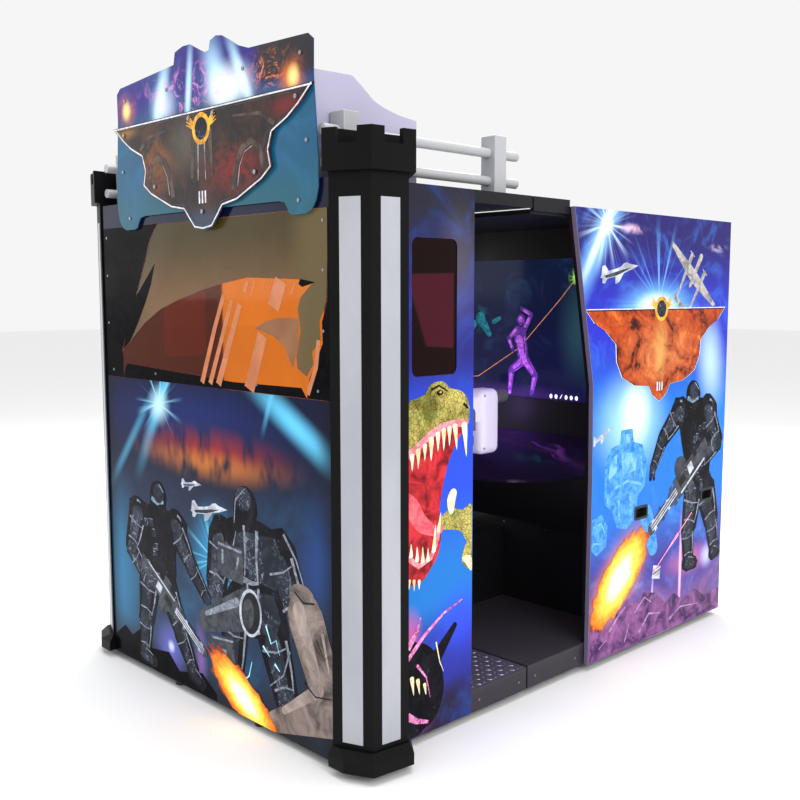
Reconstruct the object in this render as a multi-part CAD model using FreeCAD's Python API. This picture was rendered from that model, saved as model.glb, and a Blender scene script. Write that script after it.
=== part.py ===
import FreeCAD, Part
import math
import os

os.makedirs("parts", exist_ok=True)

V = FreeCAD.Vector

# Light gun cabinet for two players, millimetres.
# +Z up, +Y from the front art panel towards the rear door, X = 0 is the middle of the cabinet.

# Overall shell
BOARD = 18.0            # side walls, floor and frame boards
PANEL_Z = 30.0          # underside of every outer panel above the floor
FRONT_Y = -1240.0       # outer face of the front art panel
REAR_Y = 1260.0         # outer face of the rear wall
SEAM_Y = -272.0         # back edge of the player module
REAR_MODULE_Y = -262.0  # front edge of the screen module
FRONT_HALF = 757.0      # half width of the front panel between the towers
PLAYER_X = 814.0        # outer face of the player module's side walls
SCREEN_X = 838.0        # outer face of the screen module's side walls
SCREEN_IN = 800.0       # inner face of the screen module's side walls
GAP = 0.3               # clearance between separate boards

# Floor and roof
FLOOR_Z = 103.0
FLOOR_TOP = 121.0
TREAD_TOP = 124.0
SIDE_TOP = 1996.0
ROOF_Z = 1950.0
ROOF_TOP = 1968.0
DOOR_Y = -605.0         # front edge of the doorway
SIGN_X = 60.0           # the roof sign sits off centre, toward the right-hand entry
SIGN_BACK = 580.0       # half width of the sign's backing box
ART_TOP = 1970.0
REAR_ROOF_Z = 1930.0
REAR_ROOF_TOP = 1948.0

# Front window
WINDOW_Z = 1270.0
WINDOW_TOP = 1900.0
ACRYLIC = 6.0

# Half-hexagon corner towers
TOWER_X = 778.0
TOWER_Y = -1098.5
TOWER_R = 150.0
TOWER_TURN = -97.5      # direction of the first corner, degrees
TOWER_TOP = 2010.0
CAP_R = 175.4
CAP_TOP = 2145.0
NOTCH_Z = 2095.0
LIGHT_Z = 115.0
LIGHT_TOP = 1930.0

# Guns
GUN_X = 300.0
GUN_Y = -120.0
PITCH_Z = 1100.0
ARM_Z = 955.0
ARM_TOP = 1005.0

# Display and console
DISPLAY_Y = 546.0
DISPLAY_HALF = 607.0
DISPLAY_Z = 1110.0
DISPLAY_TOP = 1790.0
BEZEL_Y = 528.0
DECK_REAR_Y = 520.0
DECK_REAR_Z = 940.0
DECK_SLOPE = 0.6
DECK_FRONT_Y = 195.0
DECK_R = 2068.0         # plan radius of the bowed front edge


def box(x0, x1, y0, y1, z0, z1):
    return Part.makeBox(x1 - x0, y1 - y0, z1 - z0, V(x0, y0, z0))


def cyl(r, h, base, way):
    return Part.makeCylinder(r, h, V(*base), V(*way))


def prism(points, way):
    """Closed polygon of (x, y, z) corners pushed along a vector."""
    corners = [V(*p) for p in points]
    wire = Part.makePolygon(corners + [corners[0]])
    return Part.Face(wire).extrude(V(*way))


def plan(points, z0, z1):
    return prism([(x, y, z0) for x, y in points], (0, 0, z1 - z0))


def profile_yz(points, x0, x1):
    return prism([(x0, y, z) for y, z in points], (x1 - x0, 0, 0))


def profile_xz(points, y0, y1):
    return prism([(x, y0, z) for x, z in points], (0, y1 - y0, 0))


def mirrored(shape):
    return shape.mirror(V(0, 0, 0), V(1, 0, 0))


def rounded(shape, radius, axis):
    """Round the straight edges of a box that run along one axis."""
    picked = []
    for edge in shape.Edges:
        run = edge.Vertexes[1].Point - edge.Vertexes[0].Point
        if abs(abs(run[axis]) - edge.Length) < 0.01:
            picked.append(edge)
    return shape.makeFillet(radius, picked)


def soft(shape, radius):
    return shape.makeFillet(radius, shape.Edges)


def save(name, shapes):
    solids = []
    for shape in shapes:
        solids.extend(shape.Solids)
    whole = solids[0] if len(solids) == 1 else Part.makeCompound(solids)
    if not all(s.isValid() for s in solids):
        print("invalid solid in", name)
    whole.exportStep("parts/" + name + ".step")


def pair(shape):
    return [shape, mirrored(shape)]


# ---------------------------------------------------------------- towers

def half_hexagon(radius):
    corners = []
    for step in range(4):
        angle = math.radians(TOWER_TURN + 60.0 * step)
        corners.append((TOWER_X + radius * math.cos(angle), TOWER_Y + radius * math.sin(angle)))
    return corners


def face_slab(radius, face, low, high, depth, out, z0, z1):
    """Upright slab on one tower face, between two fractions of the face's width."""
    corners = half_hexagon(radius)
    a = V(corners[face][0], corners[face][1], z0)
    b = V(corners[face + 1][0], corners[face + 1][1], z0)
    along = b - a
    normal = V(along.y, -along.x, 0).normalize()
    p = a + along * low
    q = a + along * high
    ring = [p + normal * out, q + normal * out, q - normal * depth, p - normal * depth]
    return prism([tuple(c) for c in ring], (0, 0, z1 - z0))


def tower():
    shell = plan(half_hexagon(TOWER_R), PANEL_Z, TOWER_TOP - GAP)
    ring = half_hexagon(TOWER_R - 16.0)
    inner = [(ring[0][0] + 10.0, ring[0][1]), ring[1], ring[2], (ring[3][0] + 10.0, ring[3][1])]
    shell = shell.cut(plan(inner, PANEL_Z + BOARD, TOWER_TOP - BOARD))
    for face in (0, 1):
        shell = shell.cut(face_slab(TOWER_R, face, 0.25, 0.76, 3.0, 5.0, LIGHT_Z, LIGHT_TOP))
    return shell


def tower_light(face):
    return face_slab(TOWER_R, face, 0.252, 0.758, 2.9, 1.5, LIGHT_Z + GAP, LIGHT_TOP - GAP)


def tower_cap():
    shell = plan(half_hexagon(CAP_R), TOWER_TOP, CAP_TOP)
    ring = half_hexagon(CAP_R - 24.0)
    well = [(ring[0][0] + 20.0, ring[0][1]), ring[1], ring[2], (ring[3][0] + 20.0, ring[3][1])]
    shell = shell.cut(plan(well, TOWER_TOP + BOARD, CAP_TOP + 1.0))
    for face in (0, 1, 2):
        notch = face_slab(CAP_R, face, 0.29, 0.71, 24.0, 5.0, NOTCH_Z, CAP_TOP + 1.0)
        shell = shell.cut(notch)
    return shell


def tower_plinth():
    low = [(757.6, -1268.0), (835.0, -1268.0), (931.0, -1218.0), (954.0, -1052.0), (826.0, -949.5),
           (798.0, -949.5)]
    high = [(757.9, -1250.0), (790.0, -1250.0), (904.0, -1201.0), (925.0, -1046.0), (812.0, -949.5),
            (798.0, -949.5)]
    low_wire = Part.makePolygon([V(x, y, 70.0) for x, y in low + low[:1]])
    high_wire = Part.makePolygon([V(x, y, 98.0) for x, y in high + high[:1]])
    bevel = Part.makeLoft([low_wire, high_wire], True, True)
    shape = plan(low, PANEL_Z, 70.0).fuse(bevel).removeSplitter()
    core = plan(half_hexagon(TOWER_R + 0.2), 0.0, 200.0)
    return shape.cut(core)


def towers():
    save("towers", pair(tower()))
    save("tower_caps", pair(tower_cap()))
    save("tower_plinths", pair(tower_plinth()))
    save("tower_lights", pair(tower_light(0)) + pair(tower_light(1)))


def tower_room(grow):
    """Space taken by both towers, for trimming the boards beside them."""
    space = plan(half_hexagon(TOWER_R + grow), -10.0, 2200.0)
    return space.fuse(mirrored(space))


# ---------------------------------------------------------------- outer panels

def front_panels():
    room = tower_room(1.0)
    inner = FRONT_Y + BOARD
    panel = box(-FRONT_HALF, FRONT_HALF, FRONT_Y, inner, PANEL_Z, WINDOW_Z - GAP)
    save("front_panel", [panel.cut(room)])
    pane = box(-FRONT_HALF, FRONT_HALF, FRONT_Y, FRONT_Y + ACRYLIC, WINDOW_Z, WINDOW_TOP)
    save("front_window", [pane.cut(room)])
    header = box(-FRONT_HALF, FRONT_HALF, FRONT_Y, inner, WINDOW_TOP + GAP, SIDE_TOP)
    save("front_header", [header.cut(room)])


def side_panels():
    y0 = -949.0
    y1 = DOOR_Y
    wall = box(PLAYER_X - BOARD, PLAYER_X, y0, y1, PANEL_Z, SIDE_TOP)
    opening = box(PLAYER_X - 40, PLAYER_X + 10, -925.0, -697.0, 1335.0, 1815.0)
    wall = wall.cut(rounded(opening, 27.0, 0))
    pane = box(PLAYER_X - 9.0, PLAYER_X - 3.0, -924.7, -697.3, 1335.3, 1814.7)
    pane = rounded(pane, 26.7, 0)
    save("side_panel_right", [wall])
    save("side_panel_left", [mirrored(wall)])
    save("side_windows", pair(pane))


def art_front(shift):
    """Front edge of the screen module's side wall as (y, z) points, top to bottom."""
    points = [(-27.0, ART_TOP), (123.0, 1243.0), (130.0, 840.0), (124.0, PANEL_Z)]
    return [(y + shift, z) for y, z in points]


def art_panels():
    outline = art_front(0.0) + [(REAR_Y, PANEL_Z), (REAR_Y, ART_TOP)]
    wall = profile_yz(outline, SCREEN_IN, SCREEN_X)
    for y in (513.0, 1099.0):
        wall = wall.cut(box(SCREEN_IN - 1, SCREEN_X + 1, y - 47, y + 47, 616, 664))
    save("art_panel_right", [wall])
    save("art_panel_left", [mirrored(wall)])
    strip = profile_yz(art_front(-3.0) + art_front(-GAP)[::-1], SCREEN_X - 20.0, SCREEN_X)
    save("edge_trims", pair(strip))


def cup_handle(y):
    flange = rounded(box(SCREEN_X, SCREEN_X + 2.5, y - 54, y + 54, 609, 671), 12.0, 0)
    cup = box(SCREEN_X - 34, SCREEN_X + 0.5, y - 46.5, y + 46.5, 616.5, 663.5)
    hollow = rounded(box(SCREEN_X - 31, SCREEN_X + 5, y - 43.5, y + 43.5, 619.5, 660.5), 8.0, 0)
    return flange.fuse(cup).cut(hollow)


def cup_handles():
    save("cup_handles", pair(cup_handle(513.0)) + pair(cup_handle(1099.0)))


# ---------------------------------------------------------------- base and roof

def rail(x0, x1, y0, y1):
    return box(x0, x1, y0, y1, PANEL_Z, FLOOR_Z)


def base_frames():
    inner = FRONT_Y + BOARD
    solids = [
        rail(-700, 700, inner, inner + BOARD),
        rail(-796, 796, SEAM_Y - BOARD, SEAM_Y),
        rail(-796, 796, REAR_MODULE_Y, REAR_MODULE_Y + BOARD),
        rail(-SCREEN_IN + 1, SCREEN_IN - 1, REAR_Y - 2 * BOARD, REAR_Y - BOARD),
        box(-700, 700, inner + BOARD, inner + 84, 75, FLOOR_Z),
        box(-777, 777, SEAM_Y - 90, SEAM_Y - BOARD, 75, FLOOR_Z),
        box(-781, 781, REAR_MODULE_Y + BOARD, REAR_MODULE_Y + 90, 75, FLOOR_Z),
        box(-781, 781, REAR_Y - 120, REAR_Y - 2 * BOARD, 75, FLOOR_Z),
    ]
    solids += pair(rail(778, 795.7, -949, SEAM_Y - BOARD))
    solids += pair(rail(782, 799, 130, REAR_Y - 2 * BOARD))
    solids += pair(rail(796.3, PLAYER_X, DOOR_Y + GAP, SEAM_Y))
    solids += pair(rail(796.3, PLAYER_X, REAR_MODULE_Y, 121))
    save("base_frames", solids)


def floor_boards():
    lip = PLAYER_X
    inner = 795.7
    half = [(756, FRONT_Y + BOARD + GAP), (inner, -948), (inner, DOOR_Y + GAP), (lip, DOOR_Y + GAP),
            (lip, SEAM_Y)]
    player = plan(half + [(-x, y) for x, y in reversed(half)], FLOOR_Z, FLOOR_TOP)
    player = player.cut(tower_room(1.0))
    half = [(lip, REAR_MODULE_Y), (lip, 121), (799.7, 121), (799.7, REAR_Y - BOARD - GAP)]
    rear = plan(half + [(-x, y) for x, y in reversed(half)], FLOOR_Z, TREAD_TOP)
    save("floor_boards", [player, rear])
    save("tread_plate", [box(-808, 808, DOOR_Y + 2, SEAM_Y - 3, FLOOR_TOP, TREAD_TOP)])


def roof_panels():
    front = plan([(-756, FRONT_Y + BOARD + GAP), (756, FRONT_Y + BOARD + GAP), (795.7, -948), (795.7, SEAM_Y),
                  (-795.7, SEAM_Y), (-795.7, -948)], ROOF_Z, ROOF_TOP)
    front = front.cut(tower_room(1.0))
    rear = box(-799.7, 799.7, -28, REAR_Y - BOARD - GAP, REAR_ROOF_Z, REAR_ROOF_TOP)
    canopy = box(-795.7, 795.7, REAR_MODULE_Y, -29, REAR_ROOF_Z, REAR_ROOF_TOP)
    fascia_front = box(796, PLAYER_X, DOOR_Y + GAP, SEAM_Y, ROOF_Z, SIDE_TOP)
    fascia_rear = box(796, PLAYER_X, REAR_MODULE_Y, -30, REAR_ROOF_Z + 10, SIDE_TOP)
    save("roof_panels", [front, rear, canopy] + pair(fascia_front) + pair(fascia_rear))


def feet():
    spots = [(280, -1195), (700, -318), (700, -216), (700, 1180)]
    solids = []
    for x, y in spots:
        pad = Part.makeCone(26, 20, 8, V(x, y, 4)).fuse(cyl(26, 4, (x, y, 0), (0, 0, 1)))
        pad = pad.fuse(cyl(12, 6, (x, y, 12), (0, 0, 1))).fuse(cyl(6, 75 - 12, (x, y, 12), (0, 0, 1)))
        solids += pair(pad)
    save("feet", solids)


# ---------------------------------------------------------------- casters

CASTER_X = 590.0
CASTER_ZC = 32.0
WHEEL_R = 30.0


def caster_fork(x, y):
    plate = box(x - 24, x + 24, y - 24, y + 24, 71, 75)
    cheeks = []
    for side in (-1, 1):
        outline = [(y - 14, 71), (y + 14, 71), (y + 10, 22), (y - 10, 22)]
        cheeks.append(profile_yz(outline, x + side * 15 - 1.5, x + side * 15 + 1.5))
    axle = cyl(4.0, 36, (x - 18, y, CASTER_ZC), (1, 0, 0))
    return plate.fuse(cheeks).fuse(axle)


def caster_wheel(x, y):
    tyre = cyl(WHEEL_R, 24, (x - 12, y, CASTER_ZC), (1, 0, 0))
    edges = [e for e in tyre.Edges if abs(e.Length - 2 * math.pi * WHEEL_R) < 0.1]
    tyre = tyre.makeFillet(4.0, edges)
    return tyre.cut(cyl(4.05, 40, (x - 20, y, CASTER_ZC), (1, 0, 0)))


def casters():
    rows = (("front", -1168.0), ("rear", 1182.0))
    forks = []
    for end, y in rows:
        forks += pair(caster_fork(CASTER_X, y))
        save("caster_wheel_" + end + "_right", [caster_wheel(CASTER_X, y)])
        save("caster_wheel_" + end + "_left", [caster_wheel(-CASTER_X, y)])
    save("caster_forks", forks)


# ---------------------------------------------------------------- rear wall

SERVICE_HALF = 350.0
SERVICE_Z = 300.0
SERVICE_TOP = 1500.0
HINGE_X = -352.0
HINGE_Y = 1267.4


def vent_slots(z, count, pitch):
    slots = []
    for i in range(count):
        for x in (-125.0, 125.0):
            slots.append(box(x - 105, x + 105, REAR_Y - 30, REAR_Y + 5, z + i * pitch, z + i * pitch + 8))
    return slots


def rear_wall():
    y0 = REAR_Y - BOARD
    left = box(-799.5, -SERVICE_HALF, y0, REAR_Y, PANEL_Z, ART_TOP)
    right = box(SERVICE_HALF, 799.5, y0, REAR_Y, PANEL_Z, ART_TOP)
    low = box(-SERVICE_HALF, SERVICE_HALF, y0, REAR_Y, PANEL_Z, SERVICE_Z)
    top = box(-SERVICE_HALF, SERVICE_HALF, y0, REAR_Y, SERVICE_TOP, ART_TOP)
    for slot in vent_slots(1620, 8, 24):
        top = top.cut(slot)
    low = low.cut(box(180, 232, y0 - 1, REAR_Y + 1, 150, 184))
    save("rear_panel", [left, right, low, top])
    door = box(-SERVICE_HALF + 2, SERVICE_HALF - 2, y0, REAR_Y, SERVICE_Z + 2, SERVICE_TOP - 2)
    for slot in vent_slots(380, 8, 24):
        door = door.cut(slot)
    door = door.cut(cyl(10.05, 60, (322, y0 - 20, 900), (0, 1, 0)))
    for z in (450.0, 1270.0):
        door = door.fuse(box(HINGE_X, -305, REAR_Y, REAR_Y + 2.5, z, z + 40))
        door = door.fuse(cyl(5, 40, (HINGE_X, HINGE_Y, z), (0, 0, 1)))
    save("service_door", [door])
    key = cyl(10, 26, (322, y0 - 4, 900), (0, 1, 0))
    key = key.fuse(cyl(14, 3, (322, REAR_Y + 0.3, 900), (0, 1, 0)))
    key = key.cut(box(320.5, 323.5, REAR_Y + 1.5, REAR_Y + 9, 893, 907))
    key = key.fuse(box(313, 331, y0 - 4, y0 - 1, 852, 900))
    save("service_lock", [key])


def fixed_hinges():
    solids = []
    for z in (409.7, 490.3, 1229.7, 1310.3):
        leaf = box(-400, HINGE_X, REAR_Y, REAR_Y + 2.5, z, z + 40)
        solids.append(leaf.fuse(cyl(5, 40, (HINGE_X, HINGE_Y, z), (0, 0, 1))))
    for z in (199.7, 280.3):
        leaf = box(-123, COIN_HINGE_X, COIN_Y - 2.5, COIN_Y, z, z + 40)
        solids.append(leaf.fuse(cyl(4, 40, (COIN_HINGE_X, COIN_Y - 4.2, z), (0, 0, 1))))
    save("door_hinges", solids)


def power_inlet():
    y1 = REAR_Y
    body = box(180.5, 231.5, y1 - 30, y1 + 1, 150.5, 183.5)
    flange = box(170, 242, y1, y1 + 3, 142, 192)
    shape = body.fuse(flange)
    shape = shape.cut(box(208, 228, y1 - 20, y1 + 9, 153, 181))
    pins = []
    for x, z in ((213, 163), (223, 163), (218, 171)):
        pins.append(box(x - 1, x + 1, y1 - 21, y1 - 4, z - 2.5, z + 2.5))
    shape = shape.fuse(pins)
    shape = shape.fuse(box(186, 200, y1, y1 + 6, 158, 176))
    save("power_inlet", [shape])


# ---------------------------------------------------------------- display and console

def display_wall():
    top = box(-799.5, 799.5, BEZEL_Y, DISPLAY_Y, DISPLAY_TOP, REAR_ROOF_Z - GAP)
    low = box(-799.5, 799.5, BEZEL_Y, DISPLAY_Y, 930, DISPLAY_Z)
    side = box(DISPLAY_HALF, 799.5, BEZEL_Y, DISPLAY_Y, DISPLAY_Z, DISPLAY_TOP)
    save("screen_bezel", [top, low] + pair(side))
    save("display", [box(-612, 612, DISPLAY_Y + GAP, DISPLAY_Y + 45, DISPLAY_Z - 6, DISPLAY_TOP + 6)])
    save("bulkhead", [box(-799.5, 799.5, DISPLAY_Y + 46, DISPLAY_Y + 64, TREAD_TOP + GAP, REAR_ROOF_Z - GAP)])
    grille = cyl(62, 3, (704, BEZEL_Y - 3, 1250), (0, 1, 0))
    save("speaker_grilles", pair(grille))


def deck_z(y):
    return DECK_REAR_Z - DECK_SLOPE * (DECK_REAR_Y - y)


def deck_front(x):
    """Depth position of the bowed front edge at one width position."""
    return DECK_FRONT_Y + DECK_R - math.sqrt(DECK_R ** 2 - x ** 2)


def console():
    side = [(150, deck_z(150) - 14), (527, deck_z(527) - 14), (527, deck_z(527)), (150, deck_z(150))]
    slab = profile_yz(side, -799.5, 799.5)
    stations = [-799.5 + 1599.0 * i / 16.0 for i in range(17)]
    edge = [(x, deck_front(x)) for x in stations]
    shape = slab.common(plan(edge + [(799.5, 530), (-799.5, 530)], 400, 1100))
    save("console_deck", [shape])
    wires = []
    for x in stations:
        y = deck_front(x) + 2
        z = deck_z(y) - 15
        ring = [(y, z), (372, 530), (388, 530), (y + 26, z)]
        corners = [V(x, a, b) for a, b in ring]
        wires.append(Part.makePolygon(corners + [corners[0]]))
    apron = Part.makeLoft(wires, True, True)
    shelf = box(-799.5, 799.5, 390, 423, 530, 548)
    kick = box(-799.5, 799.5, 405, 423, TREAD_TOP + GAP, 529.7)
    save("console_front", [apron, shelf, kick])


# ---------------------------------------------------------------- pedestal, coin door, gun stand

COIN_Y = -210.0
COIN_HALF = 95.0
COIN_HINGE_X = -98.0


def pedestal():
    z0 = TREAD_TOP + GAP
    side = box(107, 125, COIN_Y, 404.5, z0, 452)
    top = box(-125, 125, COIN_Y, 404.5, 452.3, 470)
    stile = box(97, 106.7, COIN_Y, COIN_Y + 12, z0, 452)
    low = box(-96.7, 96.7, COIN_Y, COIN_Y + 12, z0, 163)
    high = box(-96.7, 96.7, COIN_Y, COIN_Y + 12, 397, 452)
    save("pedestal", pair(side) + [top] + pair(stile) + [low, high])


def coin_door():
    door = box(-COIN_HALF, COIN_HALF, COIN_Y, COIN_Y + 4, 165, 395)
    door = door.cut(box(-32, 32, COIN_Y - 1, COIN_Y + 9, 250, 350))
    door = door.fuse(box(COIN_HINGE_X, -70, COIN_Y - 2.5, COIN_Y, 240, 280))
    door = door.fuse(cyl(4, 40, (COIN_HINGE_X, COIN_Y - 4.2, 240), (0, 0, 1)))
    save("coin_door", [door])
    face = box(-40, 40, COIN_Y - 5, COIN_Y, 242, 358)
    face = face.fuse(box(-31.5, 31.5, COIN_Y, COIN_Y + 14, 250.5, 349.5))
    face = face.cut(box(-15.5, -10.5, COIN_Y - 9, COIN_Y + 20, 285, 321))
    face = face.cut(cyl(9.05, 40, (14, COIN_Y - 9, 303), (0, 1, 0)))
    save("coin_plate", [face])
    save("coin_return", [cyl(9, 18, (14, COIN_Y - 10, 303), (0, 1, 0))])


def gun_stand():
    foot = rounded(box(-80, 80, GUN_Y - 70, GUN_Y + 70, 470.3, 482), 15.0, 2)
    column = rounded(box(-45, 45, GUN_Y - 45, GUN_Y + 45, 482, ARM_Z), 12.0, 2)
    arm = rounded(box(-360, 360, GUN_Y - 32, GUN_Y + 32, ARM_Z, ARM_TOP), 10.0, 0)
    shape = foot.fuse([column, arm])
    for x in (-GUN_X, GUN_X):
        shape = shape.fuse(cyl(34, 20, (x, GUN_Y, ARM_TOP), (0, 0, 1)))
        shape = shape.cut(cyl(15.05, 80, (x, GUN_Y, 962), (0, 0, 1)))
    for x in (-120.0, 120.0):
        shape = shape.fuse(cyl(22, 4, (x, GUN_Y - 35.5, 980), (0, 1, 0)))
        shape = shape.cut(cyl(15.05, 40, (x, GUN_Y - 50, 980), (0, 1, 0)))
    save("gun_stand", [shape.removeSplitter()])
    for name, x in (("right", 120.0), ("left", -120.0)):
        save("start_button_" + name, [cyl(15, 22, (x, GUN_Y - 43, 980), (0, 1, 0))])


# ---------------------------------------------------------------- guns

def yoke(cx):
    base_z = ARM_TOP + 20.3
    shape = cyl(15, 60, (cx, GUN_Y, base_z - 59), (0, 0, 1)).fuse(cyl(40, 8, (cx, GUN_Y, base_z), (0, 0, 1)))
    shape = shape.fuse(box(cx - 74, cx + 74, GUN_Y - 28, GUN_Y + 28, base_z, base_z + 12))
    for side in (-1, 1):
        low = cx + side * 70 - 4
        ear = box(low, low + 8, GUN_Y - 28, GUN_Y + 28, base_z, PITCH_Z)
        ear = ear.fuse(cyl(28, 8, (low, GUN_Y, PITCH_Z), (1, 0, 0)))
        shape = shape.fuse(ear.cut(cyl(10.05, 20, (low - 6, GUN_Y, PITCH_Z), (1, 0, 0))))
    return shape.removeSplitter()


def gun_shell(cx):
    receiver = soft(box(cx - 42, cx + 42, -330, 0, 1052, 1172), 16.0)
    shroud = soft(box(cx - 58, cx + 58, -32, 98, 905, 1198), 34.0)
    butt = soft(box(cx - 34, cx + 34, -395, -310, 1060, 1150), 14.0)
    grip = profile_yz([(-330, 1075), (-378, 1075), (-398, 925), (-356, 925)], cx - 17, cx + 17)
    grip = grip.makeFillet(9.0, grip.Edges)
    sight = rounded(box(cx - 12, cx + 12, -270, -40, 1165, 1184), 5.0, 1)
    shape = receiver.fuse([shroud, butt, grip, sight])
    for side in (-1, 1):
        low = cx + 38 if side > 0 else cx - 65.5
        shape = shape.fuse(cyl(22, 27.5, (low, GUN_Y, PITCH_Z), (1, 0, 0)))
    shape = shape.fuse(cyl(10, 150, (cx - 75, GUN_Y, PITCH_Z), (1, 0, 0)))
    shape = shape.cut(box(cx - 5.5, cx + 5.5, -326, -280, 1040, 1072))
    shape = shape.cut(cyl(3.05, 20, (cx - 10, -300, 1062), (1, 0, 0)))
    return shape.removeSplitter()


def gun_barrel(cx):
    tube = cyl(30, 86, (cx, 98.3, 1155), (0, 1, 0)).cut(cyl(21, 46, (cx, 140, 1155), (0, 1, 0)))
    for y in (112.0, 128.0, 144.0):
        groove = cyl(40, 5, (cx, y, 1155), (0, 1, 0))
        tube = tube.cut(groove.cut(cyl(27, 5, (cx, y, 1155), (0, 1, 0))))
    return tube


def trigger(cx):
    outline = [(-306, 1068), (-294, 1068), (-292, 1040), (-300, 990), (-308, 992), (-304, 1040)]
    blade = profile_yz(outline, cx - 5, cx + 5)
    return blade.fuse(cyl(3.0, 19.4, (cx - 9.7, -300, 1062), (1, 0, 0)))


def guns():
    for name, cx in (("right", GUN_X), ("left", -GUN_X)):
        save("gun_yoke_" + name, [yoke(cx)])
        save("gun_shell_" + name, [gun_shell(cx)])
        save("gun_barrel_" + name, [gun_barrel(cx)])
        save("trigger_" + name, [trigger(cx)])


# ---------------------------------------------------------------- bench

def bench():
    z0 = FLOOR_TOP + GAP
    kick = box(-628, 628, -800, -782, z0, 400)
    side = box(610, 628, FRONT_Y + 22, -800.3, z0, 400)
    top = box(-628, 628, FRONT_Y + 22, -772, 400.3, 418)
    save("bench_base", [kick, top] + pair(side))
    save("seat_cushion", [soft(box(-620, 620, -1125, -765, 418.6, 505), 24.0)])
    save("back_cushion", [soft(box(-620, 620, -1221, -1130, 530, 1060), 24.0)])


# ---------------------------------------------------------------- marquee and roof pieces

def across(shapes):
    """Moves centred roof-sign shapes to the centre line of the sign."""
    for shape in shapes:
        shape.translate(V(SIGN_X, 0, 0))
    return shapes


def marquee():
    half = [(440, 1934), (474, 1928), (490, 1908), (500, 1890), (520, 1884), (590, 1884), (618, 1896),
            (640, 1925), (652, 1965), (655, 2050), (632, 2320), (634, 2434), (607, 2455)]
    crest = [(285, 2464), (221, 2484), (173, 2510), (124, 2535), (87, 2541), (50, 2530), (41, 2498),
             (14, 2495), (-37, 2518), (-83, 2540), (-131, 2541), (-186, 2528), (-197, 2484), (-240, 2481)]
    outline = half + crest + [(-x, z) for x, z in reversed(half)]
    save("marquee_layer", across([profile_xz(outline, -1252.0, -1247.0)]))
    back = [(-480, 1997), (480, 1997), (SIGN_BACK, 2090), (SIGN_BACK, 2350), (510, 2420), (-510, 2420),
            (-SIGN_BACK, 2350), (-SIGN_BACK, 2090)]
    save("marquee_back", across([profile_xz(back, -1236.0, -1200.3)]))
    wing = [(58, 1866), (100, 1908), (128, 1938), (220, 1952), (300, 1984), (370, 2012), (425, 2050),
            (410, 2108), (432, 2166), (518, 2202), (580, 2240), (650, 2296)]
    badge = [(0, 1858)] + wing + [(-x, z) for x, z in reversed(wing)]
    save("marquee_emblem", across([profile_xz(badge, -1264.0, -1259.0)]))
    fin = [(-1200, ROOF_TOP), (-1200, 1997), (-1246.5, 1997), (-1246.5, 2346), (-1066, 2349), (-1020, 2318),
           (-970, 2280), (-923, 2262), (-850, 2245), (-761, 2235), (-761, ROOF_TOP)]
    save("roof_fins", across(pair(profile_yz(fin, SIGN_BACK + 8, SIGN_BACK + 32))))


def rails():
    post_x = (680.0, 750.0)
    tubes = []
    posts = []
    for z in (2048.0, 2152.0):
        tubes += pair(cyl(18, 980, (715, -1236, z), (0, 1, 0)))
    for y in (-1172.0, -420.0):
        post = soft(box(post_x[0], post_x[1], y, y + 68, ROOF_TOP, 2216), 3.0)
        for z in (2048.0, 2152.0):
            post = post.cut(cyl(18.2, 90, (715, y - 10, z), (0, 1, 0)))
        posts += pair(post)
    save("rail_tubes", tubes)
    save("rail_posts", posts)


# ---------------------------------------------------------------- screws and stand-offs

def head(x, y, z, way, r=5.5, h=2.2):
    return cyl(r, h, (x, y, z), way)


def screws():
    solids = []
    out = (0, -1, 0)
    for x in (-690.0, -345.0, 345.0, 690.0):
        solids.append(head(x, FRONT_Y, 1300.0, out))
    for x in (-720.0, 720.0):
        for z in (1500.0, 1700.0, 1860.0):
            solids.append(head(x, FRONT_Y, z, out))
    for y in (-560.0, -320.0, -215.0, 60.0):
        solids += pair(head(PLAYER_X, y, 72, (1, 0, 0)))
    for x in (130.0, 390.0, 630.0):
        solids += pair(head(x, 405, 500, out))
    for x, z in ((598, 2120), (570, 2400), (553, 1930), (250, 2400)):
        solids += across(pair(head(x, -1252, z, out, 7, 4)))
    for x, z in ((560, 2262), (330, 2040), (80, 2270), (0, 1925)):
        spots = [x] if x == 0 else [x, -x]
        for sx in spots:
            solids += across([cyl(6, 7, (sx, -1259, z), (0, 1, 0))])
            solids += across([cyl(8, 6, (sx, -1270, z), (0, 1, 0))])
    for x, z in ((570, 2105), (300, 2330), (300, 2060)):
        solids += across(pair(cyl(8, 11, (x, -1247, z), (0, 1, 0))))
    save("panel_screws", solids)


towers()
front_panels()
side_panels()
art_panels()
cup_handles()
base_frames()
floor_boards()
roof_panels()
feet()
casters()
rear_wall()
fixed_hinges()
power_inlet()
display_wall()
console()
pedestal()
coin_door()
gun_stand()
guns()
bench()
marquee()
rails()
screws()
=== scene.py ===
import math
import random

import bmesh
import bpy
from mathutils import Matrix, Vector


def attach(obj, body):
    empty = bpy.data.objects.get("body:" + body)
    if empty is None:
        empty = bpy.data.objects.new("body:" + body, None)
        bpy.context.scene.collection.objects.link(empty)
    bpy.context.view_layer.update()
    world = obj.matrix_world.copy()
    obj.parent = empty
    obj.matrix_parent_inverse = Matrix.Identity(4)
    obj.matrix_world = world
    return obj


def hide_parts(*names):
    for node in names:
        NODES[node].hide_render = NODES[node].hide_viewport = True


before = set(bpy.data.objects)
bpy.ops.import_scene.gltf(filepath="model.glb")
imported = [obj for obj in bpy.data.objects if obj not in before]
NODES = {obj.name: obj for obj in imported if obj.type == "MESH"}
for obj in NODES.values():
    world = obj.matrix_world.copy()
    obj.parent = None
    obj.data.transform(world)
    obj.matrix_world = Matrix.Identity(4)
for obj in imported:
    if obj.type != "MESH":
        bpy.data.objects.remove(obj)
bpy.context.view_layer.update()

scene = bpy.context.scene


# ------------------------------------------------------------------ runs of numbers, in thousandths

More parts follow.
